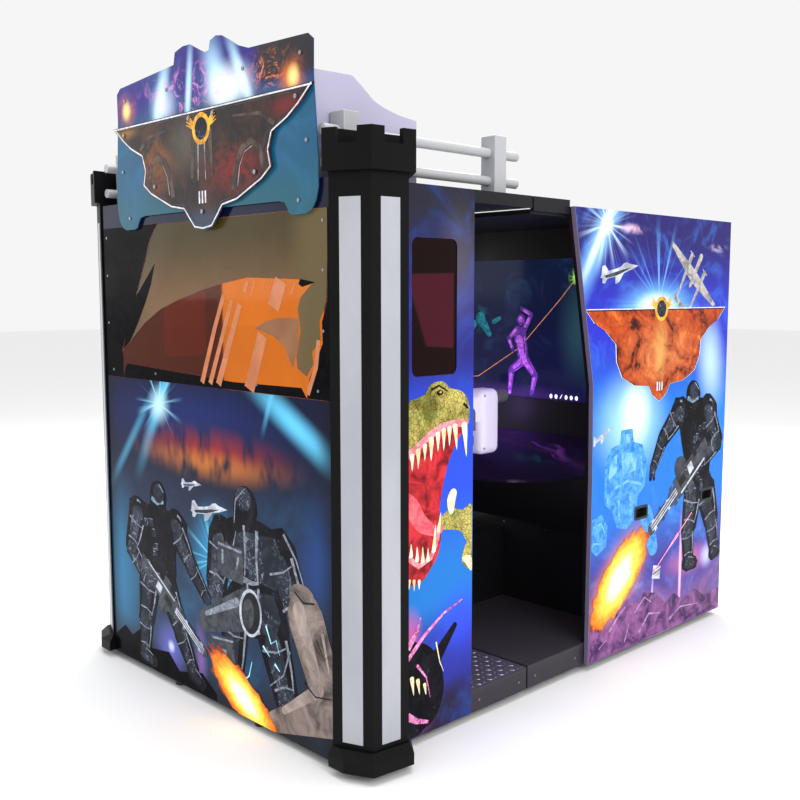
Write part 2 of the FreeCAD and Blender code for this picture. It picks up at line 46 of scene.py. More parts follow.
def pts(*run):
    """Outline points from a run of x, y."""
    v = [k / 1000 for k in run]
    return list(zip(v[::2], v[1::2]))


def bone_list(*run):
    """Limb bones (p, q, half width, half width) from a run of x, y, x, y, a, b."""
    v = [k / 1000 for k in run]
    return [((v[i], v[i + 1]), (v[i + 2], v[i + 3]), v[i + 4], v[i + 5]) for i in range(0, len(v), 6)]


# ------------------------------------------------------------------ camera

cam_data = bpy.data.cameras.new("camera")
cam_data.lens = 44.47
cam_data.sensor_width = 36.0
cam = bpy.data.objects.new("camera", cam_data)
cam.location = (3.222, -3.326, 1.62)
cam.rotation_euler = (math.radians(90.0 - 6.10), math.radians(0.04), math.radians(45.77))
scene.collection.objects.link(cam)
scene.camera = cam
scene.view_settings.view_transform = "Standard"
scene.view_settings.look = "None"


# ------------------------------------------------------------------ node shorthand

class S:
    """A shader socket that can be added, multiplied and compared like a number."""

    def __init__(self, tree, socket):
        self.tree = tree
        self.socket = socket

    def _op(self, op, other, swap=False):
        return self.tree.math(op, other, self) if swap else self.tree.math(op, self, other)

    def __add__(self, o): return self._op("ADD", o)
    def __radd__(self, o): return self._op("ADD", o, True)
    def __sub__(self, o): return self._op("SUBTRACT", o)
    def __rsub__(self, o): return self._op("SUBTRACT", o, True)
    def __mul__(self, o): return self._op("MULTIPLY", o)
    def __rmul__(self, o): return self._op("MULTIPLY", o, True)
    def __truediv__(self, o): return self._op("DIVIDE", o)


class Tree:
    def __init__(self, name):
        self.mat = bpy.data.materials.new(name)
        self.mat.use_nodes = True
        self.nt = self.mat.node_tree
        self.bsdf = self.nt.nodes["Principled BSDF"]
        self.coords = None

    def node(self, kind, **props):
        n = self.nt.nodes.new(kind)
        for k, v in props.items():
            setattr(n, k, v)
        return n

    def put(self, socket, value):
        if isinstance(value, S):
            self.nt.links.new(value.socket, socket)
        else:
            socket.default_value = value

    def math(self, op, *args):
        n = self.node("ShaderNodeMath", operation=op)
        for i, a in enumerate(args):
            self.put(n.inputs[i], a)
        return S(self, n.outputs[0])

    def pos(self):
        if self.coords is None:
            self.coords = S(self, self.node("ShaderNodeTexCoord").outputs["Object"])
        return self.coords

    def xyz(self):
        n = self.node("ShaderNodeSeparateXYZ")
        self.put(n.inputs[0], self.pos())
        return [S(self, o) for o in n.outputs]

    def vec(self, x, y, z=0.0):
        n = self.node("ShaderNodeCombineXYZ")
        for i, a in enumerate((x, y, z)):
            self.put(n.inputs[i], a)
        return S(self, n.outputs[0])

    def noise(self, vec=None, scale=5.0, detail=4.0, rough=0.55, distort=0.0):
        n = self.node("ShaderNodeTexNoise")
        self.put(n.inputs["Vector"], vec or self.pos())
        n.inputs["Scale"].default_value = scale
        n.inputs["Detail"].default_value = detail
        n.inputs["Roughness"].default_value = rough
        n.inputs["Distortion"].default_value = distort
        return S(self, n.outputs[0])

    def cells(self, vec=None, scale=5.0, feature="F1"):
        n = self.node("ShaderNodeTexVoronoi", feature=feature)
        self.put(n.inputs["Vector"], vec or self.pos())
        n.inputs["Scale"].default_value = scale
        return S(self, n.outputs["Distance"])

    def ramp(self, value, low, high, out_low=0.0, out_high=1.0):
        n = self.node("ShaderNodeMapRange", clamp=True)
        n.interpolation_type = "SMOOTHSTEP"
        for i, a in enumerate((value, low, high, out_low, out_high)):
            self.put(n.inputs[i], a)
        return S(self, n.outputs[0])

    def mix(self, fac, a, b):
        n = self.node("ShaderNodeMix", data_type="RGBA", clamp_factor=True)
        for socket, value in ((n.inputs[0], fac), (n.inputs[6], a), (n.inputs[7], b)):
            if isinstance(value, (tuple, list)) and len(value) == 3:
                value = (*value, 1.0)
            self.put(socket, value)
        return S(self, n.outputs[2])

    def glow(self, u, v, cx, cy, rx, ry=None, turn=0.0):
        """1 at the middle of an ellipse, falling to 0 at its rim."""
        ry = rx if ry is None else ry
        c, s = math.cos(turn), math.sin(turn)
        du, dv = u - cx, v - cy
        a = (du * c + dv * s) / rx
        b = (dv * c - du * s) / ry
        return self.ramp(self.math("SQRT", a * a + b * b), 1.0, 0.0)

    def beam(self, u, v, cx, cy, turn, width, length):
        """A soft straight streak through a point."""
        c, s = math.cos(turn), math.sin(turn)
        du, dv = u - cx, v - cy
        along = self.math("ABSOLUTE", du * c + dv * s)
        across = self.math("ABSOLUTE", dv * c - du * s)
        return self.ramp(across, width, 0.0) * self.ramp(along, length, 0.0)

    def rays(self, u, v, cx, cy, radius, count, seed=0.0, sharp=0.5):
        """Uneven spokes of light round a point."""
        angle = self.math("ARCTAN2", v - cy, u - cx)
        spokes = self.noise(self.vec(angle * count, seed, seed), 1.0, 1.0, 0.5)
        d = self.math("SQRT", (u - cx) * (u - cx) + (v - cy) * (v - cy))
        return self.ramp(spokes, sharp, sharp + 0.2) * self.ramp(d, radius, 0.0)

    def bump(self, height, strength=0.2, distance=0.001):
        n = self.node("ShaderNodeBump")
        n.inputs["Strength"].default_value = strength
        n.inputs["Distance"].default_value = distance
        self.put(n.inputs["Height"], height)
        self.nt.links.new(n.outputs[0], self.bsdf.inputs["Normal"])

    def set(self, **values):
        names = dict(color="Base Color", rough="Roughness", metal="Metallic", coat="Coat Weight",
                     emit="Emission Color", power="Emission Strength", trans="Transmission Weight",
                     ior="IOR", spec="Specular IOR Level")
        for key, value in values.items():
            if isinstance(value, (tuple, list)) and len(value) == 3:
                value = (*value, 1.0)
            self.put(self.bsdf.inputs[names[key]], value)
        return self


def finish(name, base, rough=0.5, vary=0.12, grain=300.0, depth=0.15, metal=0.0, coat=0.0, spec=0.5):
    """Painted, moulded or sheet finish with mottling, uneven gloss and a fine surface grain."""
    t = Tree(name)
    cloud = t.noise(scale=3.5, detail=5.0)
    speck = t.noise(scale=grain, detail=2.0)
    dark = tuple(c * (1.0 - vary) for c in base)
    light = tuple(min(1.0, c * (1.0 + vary) + 0.004) for c in base)
    t.set(color=t.mix(cloud * 0.6 + speck * 0.4, dark, light), metal=metal, coat=coat, spec=spec)
    t.set(rough=t.ramp(cloud * 0.7 + speck * 0.3, 0.25, 0.75, max(0.03, rough - 0.09), rough + 0.09))
    t.bump(speck, depth, 0.0006)
    return t


def gloss_print(t, color, power=None, rough=0.16, spec=0.10):
    """Laminated print: the colour under a clear glossy skin with a faint orange-peel; given a power, the
    print also gives off its own colour as a painted glow.
    """
    peel = t.noise(scale=180.0, detail=1.0)
    smear = t.noise(scale=4.0, detail=4.0)
    t.set(color=color, rough=t.ramp(smear, 0.3, 0.7, rough - 0.05, rough + 0.08), spec=spec)
    t.bump(peel, 0.05, 0.0004)
    # painted glow: the print gives off its own colour as faint light, though it holds no lamp
    if power:
        t.set(emit=color, power=power)
    return t


def outer_face(t, c, depth, limit):
    """Artwork on the outward face only; edges and the inside stay plain black laminate."""
    return t.mix(t.ramp(depth, limit - 0.0004, limit - 0.0001), (0.006, 0.006, 0.008), c)


def assign(mat_tree, *names):
    for name in names:
        o = NODES[name]
        o.data.materials.clear()
        o.data.materials.append(mat_tree.mat)


# ------------------------------------------------------------------ printed artwork as shader layers

def front_art():
    t = Tree("front_art")
    x, y, z = t.xyz()
    cloud = t.noise(t.vec(x, z, 1.0), 3.0, 6.0, 0.6, 0.6)
    c = t.mix(t.ramp(z, 0.0, 1.25), (0.012, 0.035, 0.085), (0.004, 0.006, 0.030))
    c = t.mix(t.ramp(cloud, 0.45, 0.8) * t.ramp(z, 1.3, 0.2) * 0.7, c, (0.015, 0.12, 0.26))
    left = t.glow(x, z, -0.72, 0.40, 0.30, 0.55)
    c = t.mix(left * 0.9, c, (0.012, 0.17, 0.34))
    c = t.mix(t.glow(x, z, 0.72, 0.62, 0.22, 0.40) * 0.7, c, (0.012, 0.07, 0.30))
    c = t.mix(t.glow(x, z, -0.10, 1.12, 0.9, 0.22) * 0.5, c, (0.01, 0.03, 0.22))
    for cx, cz, turn, w, length, k in ((-0.33, 1.18, 1.05, 0.05, 0.42, 0.9),
            (-0.55, 1.02, 0.85, 0.035, 0.40, 0.45), (0.56, 1.17, -0.50, 0.075, 0.42, 1.0),
            (0.42, 1.24, 1.2, 0.02, 0.16, 0.6)):
        b = t.beam(x, z, cx, cz, turn, w, length)
        c = t.mix(b * k, c, (0.12, 0.55, 0.85))
    c = t.mix(t.rays(x, z, -0.33, 1.18, 0.20, 4.0, 2.0, 0.5), c, (0.25, 0.70, 0.95))
    c = t.mix(t.glow(x, z, -0.33, 1.17, 0.10) * 0.9, c, (0.55, 0.85, 1.0))
    c = t.mix(t.glow(x, z, 0.05, 0.62, 0.20, 0.26) * 0.8, c, (0.03, 0.30, 0.60))
    c = t.mix(t.rays(x, z, 0.05, 0.60, 0.24, 5.0, 5.0, 0.48), c, (0.15, 0.65, 0.85))
    c = t.mix(t.glow(x, z, 0.02, 1.00, 0.85, 0.20) * 0.7, c, (0.004, 0.004, 0.008))
    ember = t.glow(x, z, 0.02, 1.01, 0.66, 0.13) * t.ramp(t.noise(t.vec(x * 2.2, z, 0.0), 5.0, 2.0), 0.32,
        0.58)
    c = t.mix(ember * 0.85, c, t.mix(t.ramp(z, 0.95, 1.05), (0.72, 0.22, 0.03), (0.34, 0.025, 0.02)))
    ground = t.ramp(z + cloud * 0.22, 0.36, 0.14)
    c = t.mix(ground * 0.92, c, (0.006, 0.006, 0.008))
    c = t.mix(t.ramp(x, 0.30, 0.75) * t.ramp(z, 0.75, 0.45) * 0.75, c, (0.010, 0.012, 0.018))
    c = t.mix(t.glow(x, z, -0.28, 0.16, 0.16) * 0.8, c, (0.14, 0.14, 0.55))
    c = t.mix(t.glow(x, z, -0.28, 0.17, 0.035), c, (0.65, 0.70, 1.0))
    c = t.mix(t.glow(x, z, -0.06, 0.17, 0.06, 0.22) * 0.6, c, (0.28, 0.14, 0.48))
    edge = t.ramp(t.math("ABSOLUTE", x), 0.66, 0.756)
    c = t.mix(edge * 0.7, c, (0.004, 0.004, 0.008))
    return gloss_print(t, outer_face(t, c, 0.0 - y, 1.240), 0.15)


def module_art():
    t = Tree("module_art")
    x, y, z = t.xyz()
    v = t.vec(y, z, 0.0)
    cloud = t.noise(v, 2.4, 6.0, 0.6, 0.8)
    wisp = t.noise(v, 6.0, 5.0, 0.6, 1.5)
    c = t.mix(t.ramp(z, 1.50, 1.88), (0.022, 0.028, 0.46), (0.018, 0.012, 0.12))
    c = t.mix(t.ramp(z, 1.45, 1.05), c, (0.010, 0.16, 0.62))
    c = t.mix(t.ramp(z, 0.72, 0.36), c, (0.040, 0.030, 0.26))
    c = t.mix(t.ramp(z, 0.36, 0.05), c, (0.13, 0.05, 0.20))
    c = t.mix(t.ramp(wisp, 0.45, 0.75) * 0.35, c, (0.05, 0.22, 0.80))
    c = t.mix(t.ramp(cloud, 0.5, 0.8) * t.ramp(z, 1.2, 0.7) * 0.6, c, (0.16, 0.55, 0.95))
    c = t.mix(t.beam(y, z, 0.18, 1.89, 0.98, 0.10, 0.55), c, (0.22, 0.50, 1.0))
    c = t.mix(t.beam(y, z, 0.18, 1.90, 0.98, 0.035, 0.40), c, (0.75, 0.90, 1.0))
    c = t.mix(t.rays(y, z, 0.20, 1.91, 0.24, 5.0, 3.0, 0.46), c, (0.55, 0.75, 1.0))
    c = t.mix(t.glow(y, z, 0.20, 1.91, 0.06), c, (1.0, 1.0, 1.0))
    c = t.mix(t.rays(y, z, 0.62, 1.58, 0.42, 7.0, 9.0, 0.50) * t.ramp(z, 1.53, 1.58), c, (0.18, 0.45, 1.0))
    c = t.mix(t.glow(y, z, 0.62, 1.55, 0.42, 0.17) * 0.95, c, (0.20, 0.62, 1.0))
    c = t.mix(t.glow(y, z, 0.60, 1.56, 0.22, 0.09), c, (0.90, 0.98, 1.0))
    c = t.mix(t.glow(y, z, 1.10, 1.30, 0.17, 0.32, 0.2) * 0.8, c, (0.50, 0.72, 1.0))
    c = t.mix(t.glow(y, z, 0.42, 1.06, 0.36, 0.30) * 0.9, c, (0.42, 0.76, 1.0))
    c = t.mix(t.glow(y, z, 0.45, 1.10, 0.16, 0.20) * 0.8, c, (0.85, 0.96, 1.0))
    haze = t.ramp(cloud, 0.35, 0.7) * t.ramp(z, 0.45, 0.15)
    c = t.mix(haze * 0.5, c, (0.50, 0.22, 0.40))
    c = t.mix(t.glow(y, z, 0.95, 0.34, 0.30, 0.10) * 0.7, c, (0.55, 0.16, 0.35))
    c = t.mix(t.glow(y, z, 1.12, 0.33, 0.08) * 0.8, c, (0.55, 0.60, 1.0))
    c = t.mix(t.beam(y, z, 0.87, 0.30, 1.57, 0.018, 0.34), c, (1.0, 0.55, 0.90))
    c = t.mix(t.beam(y, z, 0.62, 0.18, 1.50, 0.012, 0.20), c, (0.85, 0.60, 1.0))
    c = t.mix(t.glow(y, z, 0.35, 0.37, 0.40, 0.20, 0.72) * 0.95, c, (0.62, 0.20, 0.07))
    c = t.mix(t.glow(y, z, 0.35, 0.37, 0.33, 0.155, 0.72), c, (0.90, 0.30, 0.03))
    rock = t.ramp(t.noise(v, 9.0, 6.0, 0.7), 0.45, 0.7) * t.ramp(z, 0.30, 0.08)
    c = t.mix(rock * 0.45, c, (0.10, 0.05, 0.16))
    # painted reflections: these two pale pink streaks near the top edge stand in for lights reflected in
    # the glossy print
    c = t.mix(t.glow(y, z, 0.40, 1.90, 0.16, 0.030) * t.ramp(wisp, 0.35, 0.6) * 0.8, c, (0.85, 0.55, 0.70))
    c = t.mix(t.glow(y, z, 1.14, 1.84, 0.12, 0.028) * t.ramp(wisp, 0.35, 0.6) * 0.7, c, (0.75, 0.60, 0.75))
    return gloss_print(t, outer_face(t, c, t.math("ABSOLUTE", x), 0.838), 0.22)


def side_art():
    t = Tree("side_art")
    x, y, z = t.xyz()
    v = t.vec(y, z, 0.0)
    cloud = t.noise(v, 4.0, 5.0, 0.6, 0.5)
    c = t.mix(t.ramp(z, 1.95, 1.55), (0.018, 0.018, 0.030), (0.022, 0.020, 0.16))
    c = t.mix(t.ramp(z, 1.42, 1.15), c, (0.020, 0.065, 0.62))
    c = t.mix(t.ramp(z, 0.95, 0.60), c, (0.012, 0.16, 0.52))
    c = t.mix(t.ramp(z, 0.52, 0.36), c, (0.022, 0.03, 0.30))
    c = t.mix(t.ramp(z + cloud * 0.1, 0.30, 0.16), c, (0.018, 0.012, 0.035))
    c = t.mix(t.ramp(cloud, 0.45, 0.75) * 0.4, c, (0.02, 0.10, 0.55))
    c = t.mix(t.glow(y, z, -0.68, 1.72, 0.16, 0.30) * 0.4, c, (0.14, 0.12, 0.08))
    c = t.mix(t.glow(y, z, -0.66, 0.42, 0.20, 0.18) * 0.8, c, (0.03, 0.07, 0.75))
    c = t.mix(t.glow(y, z, -0.92, 0.10, 0.14, 0.10) * 0.7, c, (0.35, 0.08, 0.36))
    c = t.mix(t.glow(y, z, -0.93, 0.42, 0.07, 0.12) * 0.8, c, (0.55, 0.10, 0.30))
    return gloss_print(t, outer_face(t, c, t.math("ABSOLUTE", x), 0.814), 0.22)


def marquee_art():
    t = Tree("marquee_art")
    x, y, z = t.xyz()
    x = x - SIGN_X
    v = t.vec(x, z, 0.0)
    cloud = t.noise(v, 4.0, 6.0, 0.6, 1.0)
    c = t.mix(t.ramp(z, 2.26, 2.38), (0.008, 0.075, 0.15), (0.018, 0.010, 0.16))
    c = t.mix(t.ramp(z, 2.10, 1.92), c, (0.014, 0.085, 0.12))
    c = t.mix(t.ramp(cloud, 0.45, 0.7) * 0.4, c, (0.015, 0.14, 0.30))
    for cx, turn, w in ((-0.30, 1.25, 0.055), (0.10, 1.95, 0.09), (-0.10, 1.45, 0.03), (0.25, 2.05, 0.04)):
        c = t.mix(t.beam(x, z, cx, 2.36, turn, w, 0.26), c, (0.45, 0.75, 1.0))
    c = t.mix(t.glow(x, z, 0.16, 2.35, 0.20, 0.12) * 0.9, c, (0.80, 0.92, 1.0))
    c = t.mix(t.glow(x, z, -0.28, 2.34, 0.12, 0.13) * 0.7, c, (0.70, 0.80, 1.0))
    pink = t.ramp(t.noise(v, 12.0, 6.0, 0.7, 2.0), 0.50, 0.68)
    c = t.mix(pink * t.glow(x, z, -0.10, 2.38, 0.50, 0.14), c, (0.75, 0.25, 0.60))
    dark = t.ramp(x + z * 0.3 + cloud * 0.1, 1.06, 1.14) * t.ramp(z, 2.30, 2.36)
    c = t.mix(dark, c, (0.016, 0.014, 0.018))
    fire = t.ramp(t.noise(v, 14.0, 6.0, 0.7, 2.5), 0.48, 0.66)
    c = t.mix(fire * t.glow(x, z, 0.40, 2.37, 0.22, 0.10), c, (0.85, 0.22, 0.06))
    for cx, cz in ((0.53, 2.33), (-0.56, 2.36)):
        c = t.mix(t.glow(x, z, cx, cz, 0.10, 0.09) * t.ramp(cloud, 0.3, 0.6), c, (0.75, 0.16, 0.02))
        c = t.mix(t.glow(x, z, cx, cz, 0.045, 0.055), c, (1.0, 0.75, 0.25))
    c = t.mix(t.ramp(y, -1.2505, -1.2495), c, (0.02, 0.06, 0.12))
    return gloss_print(t, c, 0.35)


def badge_dark():
    """Smoke, rust and dark red for the roof badge."""
    t = Tree("emblem_art")
    x, y, z = t.xyz()
    u = x - SIGN_X
    v = t.vec(u, z, 0.0)
    big = t.noise(v, 4.0, 6.0, 0.65, 1.4)
    fine = t.noise(v, 20.0, 5.0, 0.7, 1.0)
    c = t.mix(t.ramp(big * 0.6 + fine * 0.4, 0.40, 0.62), (0.008, 0.006, 0.007), (0.05, 0.018, 0.012))
    c = t.mix(t.glow(u, z, -0.33, 2.12, 0.22, 0.16) * t.ramp(big, 0.35, 0.6), c, (0.22, 0.065, 0.012))
    c = t.mix(t.glow(u, z, -0.10, 2.18, 0.20, 0.16) * 0.6, c, (0.10, 0.085, 0.065))
    c = t.mix(t.glow(u, z, 0.20, 2.06, 0.26, 0.12) * t.ramp(fine, 0.35, 0.6), c, (0.17, 0.006, 0.010))
    c = t.mix(t.glow(u, z, 0.52, 2.24, 0.16, 0.05) * 0.8, c, (0.16, 0.010, 0.016))
    c = t.mix(t.glow(u, z, -0.55, 2.27, 0.12, 0.04) * 0.8, c, (0.28, 0.14, 0.02))
    c = t.mix(t.ramp(z, 1.96, 1.88) * 0.8, c, (0.03, 0.06, 0.10))
    return gloss_print(t, c, 0.25)


def fire_fill(name, plane, cx, cz, span):
    """Smouldering orange and black cloud that fills a badge."""
    t = Tree(name)
    x, y, z = t.xyz()
    u = x if plane == "x" else y
    v = t.vec(u, z, 0.0)
    big = t.noise(v, 4.5, 6.0, 0.65, 1.6)
    fine = t.noise(v, 22.0, 5.0, 0.7, 1.0)
    heat = big * 0.65 + fine * 0.35
    c = t.mix(t.ramp(heat, 0.38, 0.52), (0.030, 0.004, 0.003), (0.42, 0.055, 0.008))
    c = t.mix(t.ramp(heat, 0.52, 0.68), c, (0.90, 0.26, 0.03))
    c = t.mix(t.glow(u, z, cx, cz, span * 0.40, span * 0.20) * 0.40 * t.ramp(big, 0.35, 0.6), c,
        (0.70, 0.30, 0.12))
    c = t.mix(t.glow(u, z, cx, cz + 0.02, span * 0.07, span * 0.18) * 0.45, c, (0.85, 0.50, 0.12))
    return gloss_print(t, c, 0.2)


def muzzle_fire(name, plane, cx, cz, rx, ry, turn):
    t = Tree(name)
    x, y, z = t.xyz()
    u = x if plane == "x" else y
    rough = t.noise(t.vec(u, z, 0.0), 16.0, 6.0, 0.7, 1.2)
    du, dv = u - cx, z - cz
    a = (du * math.cos(turn) + dv * math.sin(turn)) / rx
    b = (dv * math.cos(turn) - du * math.sin(turn)) / ry
    d = t.math("SQRT", a * a + b * b) + (rough - 0.5) * 0.5
    c = t.mix(t.ramp(d, 0.98, 0.74), (0.20, 0.025, 0.01), (0.85, 0.20, 0.01))
    c = t.mix(t.ramp(d, 0.80, 0.50), c, (1.0, 0.58, 0.06))
    c = t.mix(t.ramp(d, 0.52, 0.16), c, (1.0, 0.94, 0.66))
    return gloss_print(t, c, 0.55)


def armour(name, tint=(0.004, 0.004, 0.006), light=(0.20, 0.22, 0.28), scale=46.0, cover=0.60):
    """Dark kit with broken pale flecks, like webbing and plates catching light."""
    t = Tree(name)
    x, y, z = t.xyz()
    v = t.vec(x + y, z * 0.8, 0.0)
    body = t.noise(v, 9.0, 5.0, 0.65, 0.8)
    fleck = t.ramp(t.noise(v, scale, 5.0, 0.75, 1.2), cover,
        cover + 0.10) * t.ramp(t.noise(v, 9.0, 3.0), 0.42, 0.60)
    c = t.mix(t.ramp(body, 0.4, 0.75), tint, tuple(k * 3.0 + 0.003 for k in tint))
    c = t.mix(fleck * 0.8, c, light)
    return gloss_print(t, c, 0.12, 0.25, 0.04)


def tinted_print(name, a, b, scale=9.0, power=0.2, edge=None, spec=0.08):
    t = Tree(name)
    x, y, z = t.xyz()
    v = t.vec(x + y, z, 0.0)
    n = t.noise(v, scale, 6.0, 0.65, 0.8)
    c = t.mix(t.ramp(n, 0.32, 0.68), a, b)
    if edge:
        c = t.mix(t.ramp(t.cells(v, scale * 3.0, "DISTANCE_TO_EDGE"), 0.05, 0.0) * 0.7, c, edge)
    return gloss_print(t, c, power, 0.2, spec)


def hide(name):
    """Reptile skin: small scales, olive to ochre, darker between scales."""
    t = Tree(name)
    x, y, z = t.xyz()
    v = t.vec(y, z, 0.0)
    plates = t.cells(v, 60.0, "DISTANCE_TO_EDGE")
    n = t.noise(v, 10.0, 5.0, 0.6, 0.5)
    c = t.mix(t.ramp(n, 0.35, 0.65), (0.14, 0.13, 0.02), (0.55, 0.46, 0.12))
    c = t.mix(t.ramp(t.noise(v, 24.0, 4.0), 0.5, 0.7) * 0.6, c, (0.20, 0.30, 0.07))
    c = t.mix(t.ramp(plates, 0.10, 0.0) * 0.8, c, (0.05, 0.04, 0.01))
    return gloss_print(t, c, 0.2)


# ------------------------------------------------------------------ mesh helpers

def new_object(name, bm, tree, body="cabinet", smooth=False):
    bmesh.ops.recalc_face_normals(bm, faces=bm.faces)
    mesh = bpy.data.meshes.new(name)
    bm.to_mesh(mesh)
    bm.free()
    if smooth:
        for p in mesh.polygons:
            p.use_smooth = True
    o = bpy.data.objects.new(name, mesh)
    scene.collection.objects.link(o)
    mesh.materials.append(tree.mat)
    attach(o, body)
    return o


def curved(points, steps=4):
    """Closed Catmull-Rom outline through given points."""
    out = []
    n = len(points)
    for i in range(n):
        p0, p1, p2, p3 = (points[(i + k - 1) % n] for k in range(4))
        for s in range(steps):
            f = s / steps
            out.append(tuple(0.5 * (2 * b + (c - a) * f + (2 * a - 5 * b + 4 * c - d) * f * f
                + (3 * b - a - 3 * c + d) * f ** 3) for a, b, c, d in zip(p0, p1, p2, p3)))
    return out


def on_plane(plane, u, v, lift):
    """Point on a printed face: 'front' is the -Y face, 'right' and 'left' the two sides."""
    kind, face = plane[:2]
    if kind == "front":
        return (u, face - lift, v)
    if kind == "right":
        return (face + lift, u, v)
    return (-face - lift, u, v)


def clipped(outline, bounds):
    """Outline cut back to a rectangle (u0, v0, u1, v1)."""
    tests = ((0, bounds[0], 1.0), (1, bounds[1], 1.0), (0, bounds[2], -1.0), (1, bounds[3], -1.0))
    for axis, limit, sign in tests:
        out = []
        for i, p in enumerate(outline):
            q = outline[i - 1]
            inside_p = (p[axis] - limit) * sign >= 0.0
            inside_q = (q[axis] - limit) * sign >= 0.0
            if inside_p != inside_q:
                f = (limit - q[axis]) / (p[axis] - q[axis])
                out.append((q[0] + (p[0] - q[0]) * f, q[1] + (p[1] - q[1]) * f))
            if inside_p:
                out.append(p)
        outline = out
    return outline


def around(outline, holes):
    """Outline cut into pieces that leave rectangular holes clear."""
    parts = [outline]
    far = 9.0
    for u0, v0, u1, v1 in holes:
        cuts = ((-far, -far, u0, far), (u1, -far, far, far), (u0, v1, u1, far), (u0, -far, u1, v0))
        us = [u for u, v in outline]
        if any(u0 < u < u1 for u in us) or (min(us) < u0 and max(us) > u1):
            parts = [clipped(part, cut) for part in parts for cut in cuts if part]
    return parts


FILM = 0.00025     # thickness of a printed shape


def add_patch(bm, outline, plane, lift):
    """One printed shape as a thin closed slab on its face."""
    low = [bm.verts.new(on_plane(plane, u, v, lift)) for u, v in outline]
    high = [bm.verts.new(on_plane(plane, u, v, lift + FILM)) for u, v in outline]
    n = len(outline)
    cap = bm.faces.new(high)
    base = bm.faces.new(low[::-1])
    cap.normal_update()
    base.normal_update()
    for i in range(n):
        bm.faces.new((low[i], low[(i + 1) % n], high[(i + 1) % n], high[i]))
    bmesh.ops.triangulate(bm, faces=[cap, base], ngon_method="EAR_CLIP")


def decal(name, outlines, plane, lift, tree):
    """Thin printed shapes; later outlines of one piece lie a hair above earlier ones."""
    bm = bmesh.new()
    for i, outline in enumerate(outlines):
        if len(plane) > 2:
            outline = clipped(outline, plane[2])
        for part in around(outline, plane[3] if len(plane) > 3 else []):
            if len(part) > 2:
                add_patch(bm, part, plane, lift + 0.000012 * i)
    return new_object(name, bm, tree, "cabinet")


def front_print(name, outlines, level, tree):
    decal(name, outlines, FRONT, level * LIFT, tree)


def plate_print(name, outlines, level, tree):
    decal(name, outlines, EMBLEM, level * LIFT, tree)


def screen_print(name, outlines, level, tree):
    decal(name, outlines, SCREEN, level * LIFT, tree)


def stroke(points, width, taper=1.0):
    """Ribbon outline that follows a line, narrowing to its end."""
    left, right = [], []
    n = len(points)
    for i, (x, y) in enumerate(points):
        a = points[max(0, i - 1)]
        b = points[min(n - 1, i + 1)]
        dx, dy = b[0] - a[0], b[1] - a[1]
        size = math.hypot(dx, dy) or 1.0
        w = width * 0.5 * (1.0 + (taper - 1.0) * i / (n - 1))
        left.append((x - dy / size * w, y + dx / size * w))
        right.append((x + dy / size * w, y - dx / size * w))
    return left + right[::-1]


# ------------------------------------------------------------------ finishes

FRONT = ("front", -1.240, (-0.7565, 0.032, 0.7565, 1.8995))
MODULE_AREA = (0.062, 0.034, 1.256, 1.965)
SIDE_AREA = (-0.946, 0.034, -0.608, 1.960)
HAND_HOLDS = [(0.4575, 0.6075, 0.5685, 0.6725), (1.0435, 0.6075, 1.1545, 0.6725)]
MODULE_GAPS = HAND_HOLDS + [(-0.5, -0.5, 0.132, 1.243)]     # the front edge steps back below 1.243
MODULE = {"right": ("right", 0.838, MODULE_AREA, MODULE_GAPS),
    "left": ("left", 0.838, MODULE_AREA, MODULE_GAPS)}
SIDE = {"right": ("right", 0.814, SIDE_AREA), "left": ("left", 0.814, SIDE_AREA)}
EMBLEM = ("front", -1.264)
SCREEN = ("front", 0.5462, (-0.605, 1.112, 0.605, 1.788))
SIGN_X = 0.060     # the roof sign stands this far right of the middle

black_paint = finish("black_paint", (0.0022, 0.0022, 0.0026), rough=0.48, grain=520.0, depth=0.35,
    spec=0.09)
black_board = finish("black_board", (0.006, 0.006, 0.008), rough=0.36, grain=260.0, depth=0.2, vary=0.2,
    spec=0.2)
frame_mat = finish("frame_board", (0.028, 0.024, 0.033), rough=0.40, grain=320.0, depth=0.3, vary=0.2,
    spec=0.22)
floor_mat = finish("floor_laminate", (0.036, 0.032, 0.041), rough=0.45, grain=420.0, depth=0.5, vary=0.3,
    spec=0.2)
black_plastic = finish("black_plastic", (0.008, 0.008, 0.009), rough=0.5, grain=700.0, depth=0.3, spec=0.3)
trim_mat = finish("lilac_trim", (0.16, 0.13, 0.22), rough=0.35, grain=400.0)
steel = finish("steel", (0.60, 0.60, 0.63), rough=0.28, metal=1.0, grain=150.0, vary=0.08)
screw_steel = finish("screw_steel", (0.22, 0.22, 0.24), rough=0.38, metal=1.0, grain=200.0, vary=0.1)
gun_metal = finish("gun_metal", (0.30, 0.29, 0.34), rough=0.35, metal=0.6, grain=400.0)
gun_white = finish("gun_white", (0.86, 0.82, 0.95), rough=0.28, grain=350.0, depth=0.08, vary=0.03,
    coat=0.3)
# painted glow: the white gun shells give off a faint lilac light of their own, though they hold no lamp
gun_white.set(emit=(0.55, 0.45, 0.95), power=0.22)
red_plastic = finish("button_red", (0.55, 0.02, 0.02), rough=0.2, grain=500.0, depth=0.05, coat=0.4)
white_paint = finish("white_paint", (0.40, 0.405, 0.42), rough=0.35, grain=350.0, depth=0.12, vary=0.03)
lilac_paint = finish("lilac_paint", (0.40, 0.38, 0.52), rough=0.42, grain=380.0, depth=0.15, vary=0.05)
rubber = finish("black_rubber", (0.02, 0.02, 0.02), rough=0.75, grain=600.0, depth=0.4)
